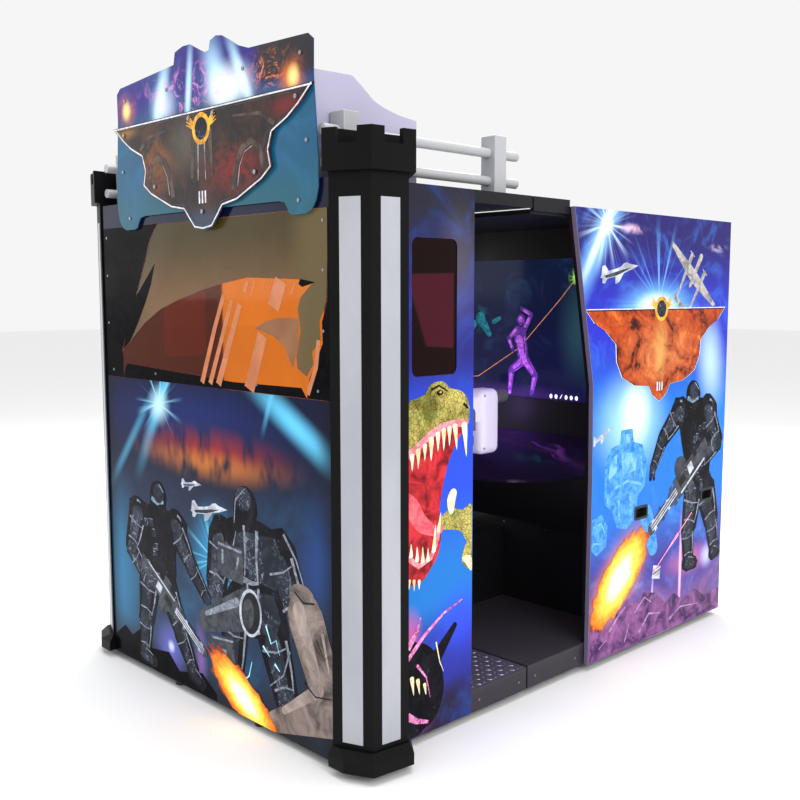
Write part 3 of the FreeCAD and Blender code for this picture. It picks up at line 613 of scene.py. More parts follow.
# the lilac tint of the tread plate and its bars is partly painted light: the grey metal is real, the lilac
# stands in for violet light falling on it
tread_mat = finish("tread_plate", (0.20, 0.18, 0.26), rough=0.33, metal=0.7, grain=300.0, depth=0.3,
    vary=0.25)
bar_mat = finish("tread_bars", (0.52, 0.48, 0.64), rough=0.28, metal=0.8, grain=300.0, vary=0.2)
deck_mat = finish("gloss_black", (0.016, 0.008, 0.030), rough=0.10, grain=120.0, depth=0.02, vary=0.2,
    spec=0.9, coat=0.6)
blue_box = finish("marquee_blue", (0.010, 0.02, 0.22), rough=0.3, grain=200.0, depth=0.05, spec=0.3)


def light_strip_mat():
    t = Tree("light_strip")
    x, y, z = t.xyz()
    band = t.noise(t.vec(x, y, z * 0.5), 3.0, 3.0)
    frost = t.noise(scale=500.0, detail=1.0)
    c = t.mix(t.ramp(band, 0.35, 0.65), (0.34, 0.355, 0.39), (0.40, 0.405, 0.44))
    t.set(color=c, emit=c, power=0.06, rough=0.35, spec=0.3)
    t.bump(frost, 0.1, 0.0004)
    return t


def acrylic(name, color, haze):
    """Tinted see-through sheet that gives off a faint painted glow of its own colour."""
    t = Tree(name)
    wave = t.noise(scale=6.0, detail=1.0)
    dust = t.noise(scale=240.0, detail=2.0)
    dark = tuple(c * 0.8 for c in color)
    # painted glow: haze is the colour the sheet gives off as light of its own, though no lamp lights it
    t.set(color=t.mix(wave, dark, color), trans=1.0, ior=1.18, spec=0.1, emit=haze, power=1.0,
          rough=t.ramp(dust, 0.3, 0.8, 0.04, 0.09))
    t.bump(wave, 0.04, 0.002)
    return t


def display_mat():
    """A lit game screen: a dark hall and a green lamp; the violet figure and the rope are printed on it
    further down.
    """
    t = Tree("display_glass")
    x, y, z = t.xyz()
    v = t.vec(x, z, 0.0)
    n = t.noise(v, 5.0, 6.0, 0.65, 0.8)
    c = t.mix(t.ramp(z, 1.10, 1.80), (0.004, 0.004, 0.030), (0.003, 0.006, 0.022))
    c = t.mix(t.ramp(n, 0.50, 0.75) * 0.6, c, (0.010, 0.030, 0.085))
    c = t.mix(t.glow(x, z, 0.46, 1.45, 0.16, 0.34) * 0.35, c, (0.03, 0.09, 0.10))
    c = t.mix(t.glow(x, z, 0.43, 1.70, 0.045, 0.05) * t.ramp(t.noise(v, 30.0, 3.0), 0.4, 0.6), c,
        (0.25, 0.65, 0.06))
    c = t.mix(t.glow(x, z, -0.35, 1.50, 0.30, 0.12) * t.ramp(t.noise(v, 16.0, 4.0), 0.5, 0.65), c,
        (0.02, 0.20, 0.25))
    c = t.mix(t.glow(x, z, 0.0, 1.12, 0.6, 0.07) * 0.6, c, (0.05, 0.02, 0.16))
    t.set(color=(0.004, 0.004, 0.006), emit=c, power=1.6, spec=0.10, rough=t.ramp(n, 0.3, 0.7, 0.08, 0.14))
    return t


assign(front_art(), "front_panel", "front_header")
assign(module_art(), "art_panel_right", "art_panel_left")
assign(side_art(), "side_panel_right", "side_panel_left")
assign(marquee_art(), "marquee_layer")
assign(badge_dark(), "marquee_emblem")
assign(black_paint, "towers", "tower_caps", "tower_plinths", "gun_stand", "coin_door", "speaker_grilles")
assign(frame_mat, "base_frames")
assign(black_board, "roof_panels", "rear_panel", "service_door", "bulkhead", "screen_bezel",
       "console_front", "pedestal", "bench_base")
assign(floor_mat, "floor_boards")
assign(tread_mat, "tread_plate")
assign(blue_box, "marquee_back")
assign(black_plastic, "cup_handles", "power_inlet")
assign(trim_mat, "edge_trims")
assign(steel, "service_lock", "door_hinges", "coin_plate", "caster_forks")
assign(screw_steel, "panel_screws")
assign(gun_metal, "gun_yoke_right", "gun_yoke_left", "gun_barrel_right", "gun_barrel_left")
assign(gun_white, "gun_shell_right", "gun_shell_left")
assign(red_plastic, "trigger_right", "trigger_left", "start_button_right", "start_button_left",
    "coin_return")
assign(white_paint, "rail_tubes", "rail_posts")
assign(lilac_paint, "roof_fins")
assign(rubber, "feet", "caster_wheel_front_right", "caster_wheel_front_left", "caster_wheel_rear_right",
       "caster_wheel_rear_left")
assign(deck_mat, "console_deck")
assign(light_strip_mat(), "tower_lights")
assign(acrylic("amber_acrylic", (0.80, 0.20, 0.012), (0.030, 0.0045, 0.001)), "front_window")
assign(acrylic("dark_acrylic", (0.07, 0.010, 0.008), (0.007, 0.0012, 0.001)), "side_windows")
assign(display_mat(), "display")


# ------------------------------------------------------------------ front window print

def olive_print():
    t = Tree("olive_print")
    x, y, z = t.xyz()
    n = t.noise(t.vec(x, z, 0.0), 6.0, 5.0)
    c = t.mix(t.ramp(z + n * 0.12, 1.92, 1.60), (0.055, 0.040, 0.012), (0.175, 0.095, 0.045))
    c = t.mix(t.ramp(x, 0.50, 0.66), c, (0.115, 0.085, 0.035))
    c = t.mix(t.ramp(x, -0.30, -0.58) * 0.6, c, (0.05, 0.045, 0.03))
    return gloss_print(t, c, 0.1, 0.3)


olive = olive_print()
tan = tinted_print("tan_print", (0.22, 0.10, 0.05), (0.30, 0.14, 0.07), 5.0, 0.15)
coal = tinted_print("coal_print", (0.002, 0.002, 0.003), (0.005, 0.005, 0.006), 20.0, 0.05, None, 0.02)
salmon = tinted_print("salmon_print", (0.42, 0.145, 0.065), (0.52, 0.20, 0.10), 9.0, 0.2)
LIFT = 0.0002

swoosh = pts(-300, 1899.5, -360, 1840, -400, 1760, -460, 1650, -540, 1500, -610, 1380, -520, 1440, -420,
    1505, -300, 1560, -160, 1600, 0, 1635, 140, 1660, 300, 1680, 460, 1675, 600, 1670, 660, 1655, 600,
    1610, 585, 1570, 600, 1500, 575, 1410, 580, 1370, 630, 1345, 665, 1390, 660, 1430, 705, 1470, 700,
    1530, 735, 1600, 742, 1740, 742, 1899.5)
decal("window_olive_print", [swoosh], FRONT, LIFT, olive)
beak = pts(340, 1500, 400, 1525, 480, 1540, 590, 1540, 585, 1450, 555, 1370, 510, 1440, 450, 1475, 400,
    1487)
decal("window_tan_print", [beak], FRONT, LIFT, tan)
shard = pts(-330, 1745, -365, 1660, -410, 1590, -470, 1510, -540, 1430, -600, 1390, -565, 1500, -500,
    1600, -430, 1660)
left_frame = pts(-757, 1270.5, -610, 1270.5, -610, 1370, -620, 1385, -550, 1500, -470, 1650, -410, 1760,
    -370, 1840, -310, 1899.5, -757, 1899.5)
right_frame = pts(757, 1270.5, 630, 1270.5, 645, 1340, 675, 1390, 715, 1460, 712, 1530, 742, 1600, 742,
    1899.5, 757, 1899.5)
low_frame = pts(-610, 1270.5, 630, 1270.5, 600, 1305, 200, 1300, -200, 1315, -580, 1330)
decal("window_frame_print", [left_frame, right_frame, low_frame,
    pts(600, 1672, 680, 1660, 610, 1645, 590, 1655)], FRONT, LIFT, coal)
decal("window_shard_print", [shard], FRONT, 2.6 * LIFT, coal)
slashes = [stroke(pts(150, 1620, 85, 1490, -5, 1285), 0.022, 1.2),
    stroke(pts(200, 1600, 50, 1285), 0.020, 1.3),
    stroke(pts(250, 1585, 105, 1285), 0.026, 1.3), stroke(pts(495, 1668, 450, 1575), 0.065),
    stroke(pts(385, 1478, 300, 1280), 0.055, 1.1), stroke(pts(300, 1670, 280, 1630), 0.020),
    stroke(pts(345, 1672, 320, 1615), 0.009, 0.6),
    stroke(pts(405, 1672, 390, 1640), 0.008, 0.6),
    stroke(pts(575, 1662, 550, 1620), 0.008, 0.6),
    stroke(pts(695, 1470, 680, 1380, 635, 1285), 0.020, 1.0)]
decal("window_slashes", slashes, FRONT, 4.4 * LIFT, salmon)


# ------------------------------------------------------------------ printed figures and machines

suit = armour("suit_dark")
suit_mid = armour("suit_mid", (0.014, 0.017, 0.026), (0.34, 0.38, 0.46), 60.0, 0.54)
suit_light = tinted_print("suit_light", (0.09, 0.10, 0.13), (0.30, 0.33, 0.40), 40.0, 0.2)
plate_grey = tinted_print("plate_grey", (0.018, 0.021, 0.028), (0.075, 0.082, 0.10), 16.0, 0.1)
pale_metal = tinted_print("pale_metal", (0.26, 0.28, 0.34), (0.62, 0.66, 0.76), 14.0, 0.25)
hull_grey = tinted_print("hull_grey", (0.16, 0.15, 0.15), (0.50, 0.47, 0.44), 24.0, 0.2)
stone = tinted_print("stone", (0.050, 0.040, 0.038), (0.30, 0.235, 0.21), 7.0, 0.1)
stone_light = tinted_print("stone_light", (0.20, 0.155, 0.14), (0.42, 0.34, 0.31), 9.0, 0.1)
visor_tint = tinted_print("visor_tint", (0.05, 0.09, 0.13), (0.24, 0.34, 0.42), 30.0, 0.25)
white_line = tinted_print("white_line", (0.45, 0.45, 0.50), (0.78, 0.78, 0.84), 30.0, 0.3)
dark_line = tinted_print("dark_line", (0.003, 0.003, 0.004), (0.012, 0.012, 0.014), 30.0)
gold = tinted_print("gold_mark", (0.42, 0.16, 0.01), (0.85, 0.46, 0.05), 16.0, 0.3)


def ring(cx, cy, rx, ry, count=28, turn=0.0):
    c, s = math.cos(turn), math.sin(turn)
    out = []
    for i in range(count):
        a = 2.0 * math.pi * i / count
        x, y = rx * math.cos(a), ry * math.sin(a)
        out.append((cx + x * c - y * s, cy + x * s + y * c))
    return out


def capsule(p, q, a, b, count=7):
    """Rounded limb outline from p (half width a) to q (half width b)."""
    along = math.atan2(q[1] - p[1], q[0] - p[0])
    out = []
    for centre, radius, start in ((p, a, along + math.pi / 2), (q, b, along - math.pi / 2)):
        for i in range(count + 1):
            t = start + math.pi * i / count
            out.append((centre[0] + radius * math.cos(t), centre[1] + radius * math.sin(t)))
    return out


def pills(*run):
    """A capsule for each bone in a run of numbers."""
    return [capsule(*bone) for bone in bone_list(*run)]


def placed(points, cx, cy, size, turn=0.0, flip=1.0):
    c, s = math.cos(turn), math.sin(turn)
    return [(cx + size * (x * flip * c - y * s), cy + size * (x * flip * s + y * c)) for x, y in points]


def flame_outline(cx, cy, rx, ry, turn, seed, count=44, jag=0.14):
    rnd = random.Random(seed)
    base = ring(cx, cy, rx, ry, count, turn)
    out = []
    for x, y in base:
        k = 1.0 + rnd.uniform(-jag, jag)
        out.append((cx + (x - cx) * k, cy + (y - cy) * k))
    return curved(out, 2)


def limbs(chain, bulk=1.0):
    """Creased sleeves, inner shading plates, straps and edge glints for a list of (p, q, a, b) bones."""
    rnd = random.Random(len(chain))
    base, plates, glints = [], [], []
    for p, q, a, b in chain:
        a, b = a * bulk, b * bulk
        crease = min(a, b) * 0.13
        base.append([(x + rnd.uniform(-crease, crease), y + rnd.uniform(-crease, crease)) for x,
            y in capsule(p, q, a, b)])
        mx, my = (q[0] - p[0]), (q[1] - p[1])
        size = math.hypot(mx, my) or 1.0
        nx, ny = my / size, -mx / size
        if nx < 0.0:
            nx, ny = -nx, -ny
        shift = lambda pt, k: (pt[0] + nx * k, pt[1] + ny * k)
        f = lambda t: (p[0] + mx * t, p[1] + my * t)
        plates.append(capsule(shift(f(0.18), -a * 0.15), shift(f(0.72), -b * 0.15), a * 0.52, b * 0.55, 5))
        glints.append(stroke([shift(f(0.12), a * 0.72), shift(f(0.55), (a + b) * 0.38),
            shift(f(0.86), b * 0.70)], min(a, b) * 0.20, 0.4))
        if size > 0.10:
            glints.append(stroke([shift(f(0.22), -a * 0.86), shift(f(0.27), 0.0),
                shift(f(0.23), a * 0.60)], a * 0.10, 0.5))
            glints.append(stroke([shift(f(0.80), -b * 0.80), shift(f(0.76), 0.0),
                shift(f(0.81), b * 0.70)], b * 0.14, 0.5))
            plates.append(placed(pts(-500, -600, 500, -500, 600, 500, 0, 800, -600, 500),
                *f(1.0), b * 1.25, math.atan2(my, mx) - math.pi / 2))
    return base, plates, glints


def figure(prefix, plane, lift, bones, chest, helmet, visor, seed):
    """Helmeted armoured figure of no particular design, built from limbs, plates and pouches."""
    rnd = random.Random(seed)
    base, plates, glints = limbs(bones, 1.16)
    hx, hy, hr, tilt = helmet
    head = [ring(hx, hy, hr, hr * 1.16, 22, tilt), capsule((hx, hy - hr * 0.6),
        (hx + hr * 0.2, hy - hr * 1.4), hr * 0.62, hr * 0.8), placed(pts(-1150, -250, -750, 100, 950, 250,
        1050, -50, 800, -750, -450, -950), hx, hy, hr, tilt)]
    dome = [ring(hx + hr * 0.10, hy + hr * 0.32, hr * 0.70, hr * 0.66, 16, tilt)]
    pouches, seams = [], []
    us = [u for u, v in chest]
    vs = [v for u, v in chest]
    for i in range(14):
        u = rnd.uniform(min(us) * 0.8 + max(us) * 0.2, min(us) * 0.25 + max(us) * 0.75)
        v = rnd.uniform(min(vs) * 0.9 + max(vs) * 0.1, min(vs) * 0.2 + max(vs) * 0.8)
        w, h = rnd.uniform(0.016, 0.030), rnd.uniform(0.018, 0.034)
        pouches.append(placed(pts(-500, -500, 500, -500, 500, 400, 300, 500, -500, 500), u, v,
            (w + h) * 0.6, rnd.uniform(-0.3, 0.3)))
        seams.append(stroke([(u - w / 2, v + h / 2), (u + w / 2, v + h / 2)], 0.0030))
    decal(prefix + "_body", base + [curved(chest, 2)] + head, plane, lift * LIFT, suit)
    decal(prefix + "_plates", plates + pouches + dome, plane, (lift + 1.6) * LIFT, suit_mid)
    decal(prefix + "_glints", glints + seams + [stroke([(hx + hr * 0.2, hy + hr * 0.95),
        (hx + hr * 0.75, hy + hr * 0.45)], hr * 0.12, 0.5)], plane, (lift + 3.2) * LIFT, suit_light)
    decal(prefix + "_visor", visor, plane, (lift + 3.2) * LIFT, visor_tint)


def weapon(prefix, plane, lift, grip, muzzle, size):
    """Long bundled-barrel machine with a boxy body, all straight capsules and blocks."""
    dx, dy = muzzle[0] - grip[0], muzzle[1] - grip[1]
    turn = math.atan2(dy, dx)
    length = math.hypot(dx, dy)
    at = lambda u, v: (grip[0] + (u * math.cos(turn) - v * math.sin(turn)), grip[1]
        + (u * math.sin(turn) + v * math.cos(turn)))
    bar = lambda u0, u1, v, w: capsule(at(u0 * length, v * size), at(u1 * length, v * size), w * size,
        w * size, 4)
    block = lambda u0, u1, v0, v1: [at(u0 * length, v0 * size), at(u1 * length, v0 * size),
        at(u1 * length, v1 * size), at(u0 * length, v1 * size)]
    drum = ring(*at(0.22 * length, -1.35 * size), size * 0.95, size * 0.95, 20)
    decal(prefix + "_frame", [bar(-0.25, 0.55, 0.0, 0.62), block(-0.05, 0.42, -1.1, 0.9),
        bar(0.5, 1.0, 0.0, 0.50), block(0.10, 0.24, 0.9, 1.8), drum, block(-0.34, -0.12, -0.9, 0.7),
        block(0.46, 0.52, -0.95, 0.95), block(0.74, 0.78, -0.7, 0.7)], plane, lift * LIFT, plate_grey)
    decal(prefix + "_barrels", [bar(0.42, 0.98, k, 0.085) for k in (-0.30, -0.05, 0.20)]
        + [block(0.60, 0.64, -0.5, 0.5), block(0.90, 0.95, -0.55, 0.55)] + [bar(-0.2, 0.35, 0.62, 0.09),
        block(0.02, 0.12, -0.7, 0.2)], plane, (lift + 1.6) * LIFT, pale_metal)
    decal(prefix + "_gaps", [bar(0.45, 0.97, k, 0.05) for k in (-0.18, 0.08)]
        + [block(0.20, 0.34, -0.6, 0.1)], plane, (lift + 3.2) * LIFT, dark_line)


JET = pts(-500, 0, -470, 30, -430, 150, -360, 160, -280, 60, -100, 60, 40, 70, 120, 105, 200, 110, 270,
    75, 500, 10, 300, -20, 100, -35, -40, -140, -140, -160, -120, -50, -330, -45, -400, -100, -460, -90,
    -450, -20)
JET_SHADE = pts(-400, 10, 60, 20, 300, 15, 100, -20, -100, -40, -360, -30)


def bomber(cx, cy, size, turn):
    parts = [pts(-500, 15, -470, -30, 0, -85, 470, -30, 500, 15, 0, 45), *pills(0, 210, 0, -120, 30, 22,
        -145, 120, -125, -360, 26, 10, 145, 120, 125, -360, 26, 10), pts(-170, -335, 170, -335, 170, -385,
        -170, -385), capsule((-0.19, 0.135), (-0.10, 0.135), 0.006, 0.006, 3), capsule((0.10, 0.135),
        (0.19, 0.135), 0.006, 0.006, 3)]
    return [placed(p, cx, cy, size, turn) for p in parts]


def roundel(cx, cy, r, rim_tree, core_tree, name, plane, lift):
    """Plain winged disc: a ring, a core and four feather strokes a side."""
    feathers = []
    for k in range(4):
        a = 0.12 + 0.20 * k
        for side in (-1.0, 1.0):
            feathers.append(stroke([(cx + side * r * 0.7, cy + r * 0.3 * math.sin(a)), (cx
                + side * r * 1.7 * math.cos(a * 0.8), cy + r * 1.1 * math.sin(a) + r * 0.25)], r * 0.22,
                0.3))
    decal(name + "_wings", feathers + [ring(cx, cy, r, r)], plane, lift * LIFT, rim_tree)
    decal(name + "_core", [ring(cx, cy, r * 0.70, r * 0.70)], plane, (lift + 2.0) * LIFT, core_tree)


# ------------------------------------------------------------------ front panel print

front_print("front_ruins", [pts(-750, 32, -750, 110, -660, 170, -600, 140, -520, 190, -450, 120, -300,
    140, -220, 80, -50, 120, 50, 60, 50, 32)], 1.0, coal)
giant = bone_list(100, 700, 60, 500, 85, 65, 460, 700, 560, 480, 95, 80, 180, 400, 160, 140, 100, 70, 420,
    400, 500, 160, 100, 75, 220, 660, 360, 660, 130, 130, 240, 460, 360, 460, 120, 110)
g_base, g_plates, g_glints = limbs(giant)
front_print("front_giant", g_base + [ring(0.26, 0.835, 0.075, 0.085)], 2.0, suit)
front_print("front_giant_plates", g_plates + [ring(0.25, 0.87, 0.05, 0.045)], 3.4, suit_mid)
front_print("front_giant_glints", g_glints + [stroke(pts(190, 770, 200, 860, 260, 910), 0.006,
    0.5), stroke(pts(490, 780, 560, 700, 600, 620), 0.012, 0.4),
    stroke(pts(160, 620, 200, 740), 0.010, 0.3), stroke(pts(520, 360, 480, 260, 400, 200),
    0.009, 0.4)], 4.8, suit_light)
front_print("front_gauntlet", [*pills(610, 500, 720, 260, 100, 88, 740, 200, 420, 70, 88, 40),
    ring(0.59, 0.575, 0.070, 0.045)], 6.0, stone)
front_print("front_gauntlet_light", [*pills(575, 520, 660, 310, 35, 30, 680, 265, 480, 130, 25, 14),
    stroke(pts(700, 470, 735, 340), 0.016, 0.4)], 7.4, stone_light)
front_print("front_gauntlet_joints", [stroke(pts(600, 270, 660, 235, 745, 250), 0.008, 0.5),
    stroke(pts(670, 440, 710, 380, 735, 400), 0.005, 0.5),
    stroke(pts(550, 585, 600, 555, 660, 565), 0.007)], 8.8, dark_line)
launcher_body = [capsule((-0.02, 0.345), (0.24, 0.445), 0.046, 0.080),
    placed(pts(-500, -400, 500, -400, 500, 400, -500, 400), 0.16, 0.615, 0.17, -0.05),
    placed(pts(-500, -500, 500, -350, 400, 400, -500, 300), 0.10, 0.25, 0.17),
    capsule((0.10, 0.70), (0.12, 0.60), 0.018, 0.03)]
front_print("front_launcher", launcher_body, 6.4, plate_grey)
front_print("front_launcher_light", [capsule((-0.01, 0.375), (0.20, 0.468), 0.010, 0.018, 5),
    stroke(pts(80, 675, 235, 665), 0.010), stroke(pts(30, 290, 170, 305), 0.008),
    placed(pts(-500, -500, 500, -500, 500, 500, -500, 500), 0.10, 0.235, 0.05),
    stroke(pts(110, 600, 110, 655), 0.012), stroke(pts(200, 595, 215, 645), 0.012)], 7.8,
    suit_light)
front_print("front_launcher_rim", [ring(0.285, 0.445, 0.070, 0.092, 36, -0.12)], 9.2, pale_metal)
front_print("front_launcher_bore", [ring(0.287, 0.445, 0.058, 0.080, 36, -0.12)], 10.4, dark_line)
front_print("front_launcher_throat", [ring(0.272, 0.440, 0.036, 0.058, 30, -0.12)], 11.6,
    plate_grey)
front_print("front_sparks", [stroke(pts(380, 420, 410, 360, 440, 380, 460, 330), 0.008, 0.3),
    stroke(pts(360, 340, 400, 310), 0.010, 0.3), stroke(pts(430, 290, 460, 270), 0.012, 0.3),
    stroke(pts(220, 160, 270, 200, 290, 260), 0.008, 0.4)], 9.2,
    tinted_print("spark_blue", (0.10, 0.42, 0.55), (0.45, 0.80, 0.90), 20.0, 0.5))
TROOPER = bone_list(-520, 685, -575, 540, 62, 46, -575, 530, -440, 405, 46, 34, -220, 675, -115, 550, 56,
    40, -110, 540, -5, 435, 38, 26, -440, 420, -475, 250, 70, 52, -475, 240, -490, 100, 50, 38, -290, 400,
    -205, 260, 68, 48, -205, 250, -115, 120, 46, 34, -500, 85, -420, 70, 34, 26, -120, 105, -50, 75, 32,
    24, -540, 710, -500, 700, 52, 52, -230, 700, -190, 680, 50, 46)
figure("front_trooper", FRONT, 6.0, TROOPER, pts(-500, 720, -360, 750, -220, 710, -230, 560,
    -240, 420, -350, 360, -470, 420, -520, 560), (-0.355, 0.785, 0.062, 0.15),
    [stroke(pts(-405, 778, -360, 762, -312, 774), 0.020, 0.9)], 11)
weapon("front_weapon", FRONT, 10.5, (-0.38, 0.43), (-0.03, 0.21), 0.040)
for i, (cx, cz, size, turn) in enumerate(((0.02, 0.79, 0.26, 0.15), (-0.10, 0.875, 0.15, 0.1))):
    front_print("front_jet_" + str(i + 1), [placed(JET, cx, cz, size, turn)], 5.2, pale_metal)
    front_print("front_jet_shade_" + str(i + 1), [placed(JET_SHADE, cx, cz, size, turn)], 6.4,
        plate_grey)
front_print("front_muzzle_fire", [flame_outline(0.23, 0.105, 0.26, 0.090, -0.50, 7)], 12.5,
      muzzle_fire("front_fire", "x", 0.23, 0.105, 0.26, 0.095, -0.50))


# ------------------------------------------------------------------ screen module print

fire_side = fire_fill("side_badge_fire", "y", 0.64, 1.36, 1.1)
flame_side = muzzle_fire("side_fire", "y", 0.35, 0.37, 0.30, 0.15, 0.72)
ghost = tinted_print("ghost_blue", (0.016, 0.16, 0.56), (0.10, 0.38, 0.80), 26.0, 0.18)
ghost_light = tinted_print("ghost_light", (0.05, 0.27, 0.68), (0.22, 0.52, 0.90), 22.0, 0.18)
violet = tinted_print("violet_ground", (0.035, 0.012, 0.075), (0.30, 0.11, 0.30), 11.0, 0.16)
violet_light = tinted_print("violet_light", (0.20, 0.09, 0.28), (0.52, 0.32, 0.56), 26.0, 0.2)
pink_line = tinted_print("pink_line", (1.0, 0.16, 0.30), (1.0, 0.40, 0.50), 20.0, 0.7)

BADGE_HALF = pts(0, 1140, 60, 1172, 88, 1212, 205, 1222, 300, 1262, 345, 1330, 352, 1405, 430, 1462, 510,
    1496, 574, 1552)
BADGE = [(0.64 - u, v) for u, v in reversed(BADGE_HALF)] + [(0.64 + u, v) for u, v in BADGE_HALF[1:]]
SCOUT = bone_list(1100, 1035, 1185, 900, 60, 46, 1185, 885, 1030, 800, 44, 34, 800, 1055, 685, 960, 56,
    40, 680, 950, 605, 830, 38, 26, 970, 660, 935, 500, 78, 56, 930, 490, 945, 340, 52, 42, 1090, 660,
    1155, 500, 80, 58, 1160, 490, 1195, 360, 54, 44, 930, 325, 1000, 315, 36, 28, 1180, 335, 1225, 330,
    36, 26, 810, 1075, 840, 1070, 58, 58, 1080, 1065, 1120, 1050, 60, 56, 600, 825, 585, 785, 20, 10, 612,
    820, 615, 780, 12, 8)
GHOST = [pts(220, 900, 270, 960, 330, 970, 340, 1030, 430, 1030, 440, 970, 510, 950, 550, 880, 540, 760,
    480, 720, 470, 620, 400, 580, 320, 600, 280, 680, 220, 720), pts(120, 660, 200, 680, 250, 620, 240,
    530, 170, 500, 120, 540), *pills(560, 620, 620, 460, 50, 40, 140, 600, 80, 520, 30, 20)]
GHOST_LIGHT = [pts(250, 900, 310, 930, 310, 850, 250, 820), pts(360, 1010, 410, 1010, 410, 970, 360, 970),
    pts(340, 930, 470, 920, 460, 840, 360, 830), stroke(pts(300, 780, 400, 800, 510, 770), 0.012),
    stroke(pts(330, 720, 340, 630), 0.016, 0.6), stroke(pts(420, 730, 430, 640), 0.018, 0.6),
    stroke(pts(500, 900, 520, 800), 0.014, 0.5), stroke(pts(140, 630, 200, 640, 230, 590), 0.010, 0.6),
    stroke(pts(140, 560, 200, 550), 0.008), stroke(pts(550, 590, 590, 500), 0.014, 0.5),
    stroke(pts(250, 760, 240, 720), 0.010), stroke(pts(360, 880, 450, 875), 0.006)]

for side in ("right", "left"):
    plane = MODULE[side]
    put = lambda name, outlines, lift, tree: decal("module_" + name + "_" + side, outlines, plane,
        lift * LIFT, tree)
    put("ghosts", GHOST, 1.0, ghost)
    put("ghost_plates", GHOST_LIGHT, 2.4, ghost_light)
    put("ground", [pts(30, 34, 30, 140, 200, 170, 270, 140, 330, 210, 420, 260, 500, 220, 560, 260, 660,
        235, 740, 170, 820, 200, 900, 150, 1020, 180, 1100, 130, 1260, 140, 1260, 34)], 2.4, violet)
    put("ground_light", [stroke(pts(280, 140, 340, 190, 400, 225), 0.014, 0.4),
        stroke(pts(480, 180, 560, 235, 620, 200), 0.012, 0.4),
        stroke(pts(400, 60, 440, 150), 0.010, 0.3),
        stroke(pts(520, 80, 600, 150, 700, 130), 0.014, 0.3),
        stroke(pts(780, 80, 880, 120, 1050, 100), 0.012, 0.3),
        stroke(pts(200, 80, 260, 110), 0.010, 0.3)], 3.8, violet_light)
    put("jet", [placed(JET, 0.30, 1.715, 0.29, 0.18), placed(JET, 0.20, 1.02, 0.17, 0.35)], 1.0, pale_metal)
    put("jet_shade", [placed(JET_SHADE, 0.30, 1.715, 0.29, 0.18)], 2.4, plate_grey)
    put("bomber", bomber(0.92, 1.71, 0.50, -0.62), 1.0, hull_grey)
    put("badge_edge", [placed([(a - 0.64, b - 1.34) for a, b in BADGE], 0.64, 1.341, 1.026)], 2.4,
        white_line)
    put("badge_shadow", [placed([(a - 0.64, b - 1.34) for a, b in BADGE], 0.64, 1.340, 1.010)], 3.8,
        dark_line)
    put("badge", [placed([(a - 0.64, b - 1.34) for a, b in BADGE], 0.64, 1.339, 0.990)], 5.2, fire_side)
    put("badge_tab", [stroke([(0.640 + k * 0.020, 1.225), (0.640 + k * 0.020, 1.185)], 0.009)
        for k in (-1.0, 0.0, 1.0)], 6.6, white_line)
    roundel(0.64, 1.555, 0.055, gold, suit_mid, "module_disc_" + side, plane, 6.6)
    figure("module_scout_" + side, plane, 3.8, SCOUT, pts(820, 1100, 960, 1130, 1120, 1090,
        1140, 920, 1120, 760, 1130, 630, 930, 620, 900, 780, 850, 920), (0.945, 1.140, 0.064, 0.2),
        [stroke(pts(892, 1132, 940, 1114, 992, 1128), 0.021, 0.9)], 5)
    weapon("module_weapon_" + side, plane, 8.5, (0.97, 0.80), (0.60, 0.545), 0.056)
    put("laser", [stroke(pts(960, 570, 620, 335), 0.004, 1.0),
        stroke(pts(840, 487, 730, 411), 0.018, 0.2)], 13.0, pink_line)
    put("muzzle_fire", [flame_outline(0.35, 0.37, 0.270, 0.112, 0.72, 3, 60, 0.10)], 13.0, flame_side)
    put("crate", [placed(pts(-500, -300, 400, -500, 500, 300, -350, 500), 0.655, 0.335, 0.075)],
        5.2, pale_metal)
    put("panel_bars", [stroke(pts(625, 330, 690, 345), 0.006),
        stroke(pts(630, 345, 685, 360), 0.004)], 6.6, plate_grey)


# ------------------------------------------------------------------ player module side print

skin = hide("reptile_hide")
mouth = tinted_print("mouth_red", (0.14, 0.005, 0.008), (0.62, 0.03, 0.04), 12.0, 0.25)
tongue = tinted_print("tongue_red", (0.55, 0.05, 0.08), (0.85, 0.16, 0.18), 18.0, 0.3)
ivory = tinted_print("ivory", (0.62, 0.46, 0.22), (0.95, 0.88, 0.66), 22.0, 0.3)
gums = tinted_print("gums", (0.55, 0.10, 0.14), (0.90, 0.36, 0.40), 26.0, 0.25)
magenta = tinted_print("magenta_streak", (0.30, 0.03, 0.16), (0.75, 0.22, 0.50), 16.0, 0.35,
    (0.9, 0.7, 0.8))

SKULL = pts(-948, 1235, -900, 1260, -860, 1272, -830, 1305, -770, 1312, -730, 1285, -670, 1270, -635,
    1235, -625, 1180, -640, 1145, -700, 1155, -780, 1150, -840, 1125, -900, 1090, -948, 1070)
MAW = pts(-948, 1085, -880, 1115, -800, 1150, -700, 1150, -660, 1130, -700, 1080, -745, 1000, -775, 900,
    -790, 800, -800, 700, -860, 640, -948, 680)
JAW = pts(-948, 830, -910, 810, -870, 830, -820, 860, -785, 840, -775, 760, -790, 690, -830, 640, -880,
    600, -948, 620)
ARM = pts(-607, 840, -660, 830, -720, 845, -760, 830, -800, 800, -775, 775, -720, 765, -670, 750, -640,
    710, -607, 700)


def fang(x, z, w, h, lean=0.0):
    """Curved tooth hanging from (x, z); a negative h points up."""
    return curved([(x - w / 2, z), (x + w / 2, z), (x + w * 0.30 + lean * 0.5, z - h * 0.55),
        (x + lean, z - h), (x - w * 0.25 + lean * 0.4, z - h * 0.5)], 2)


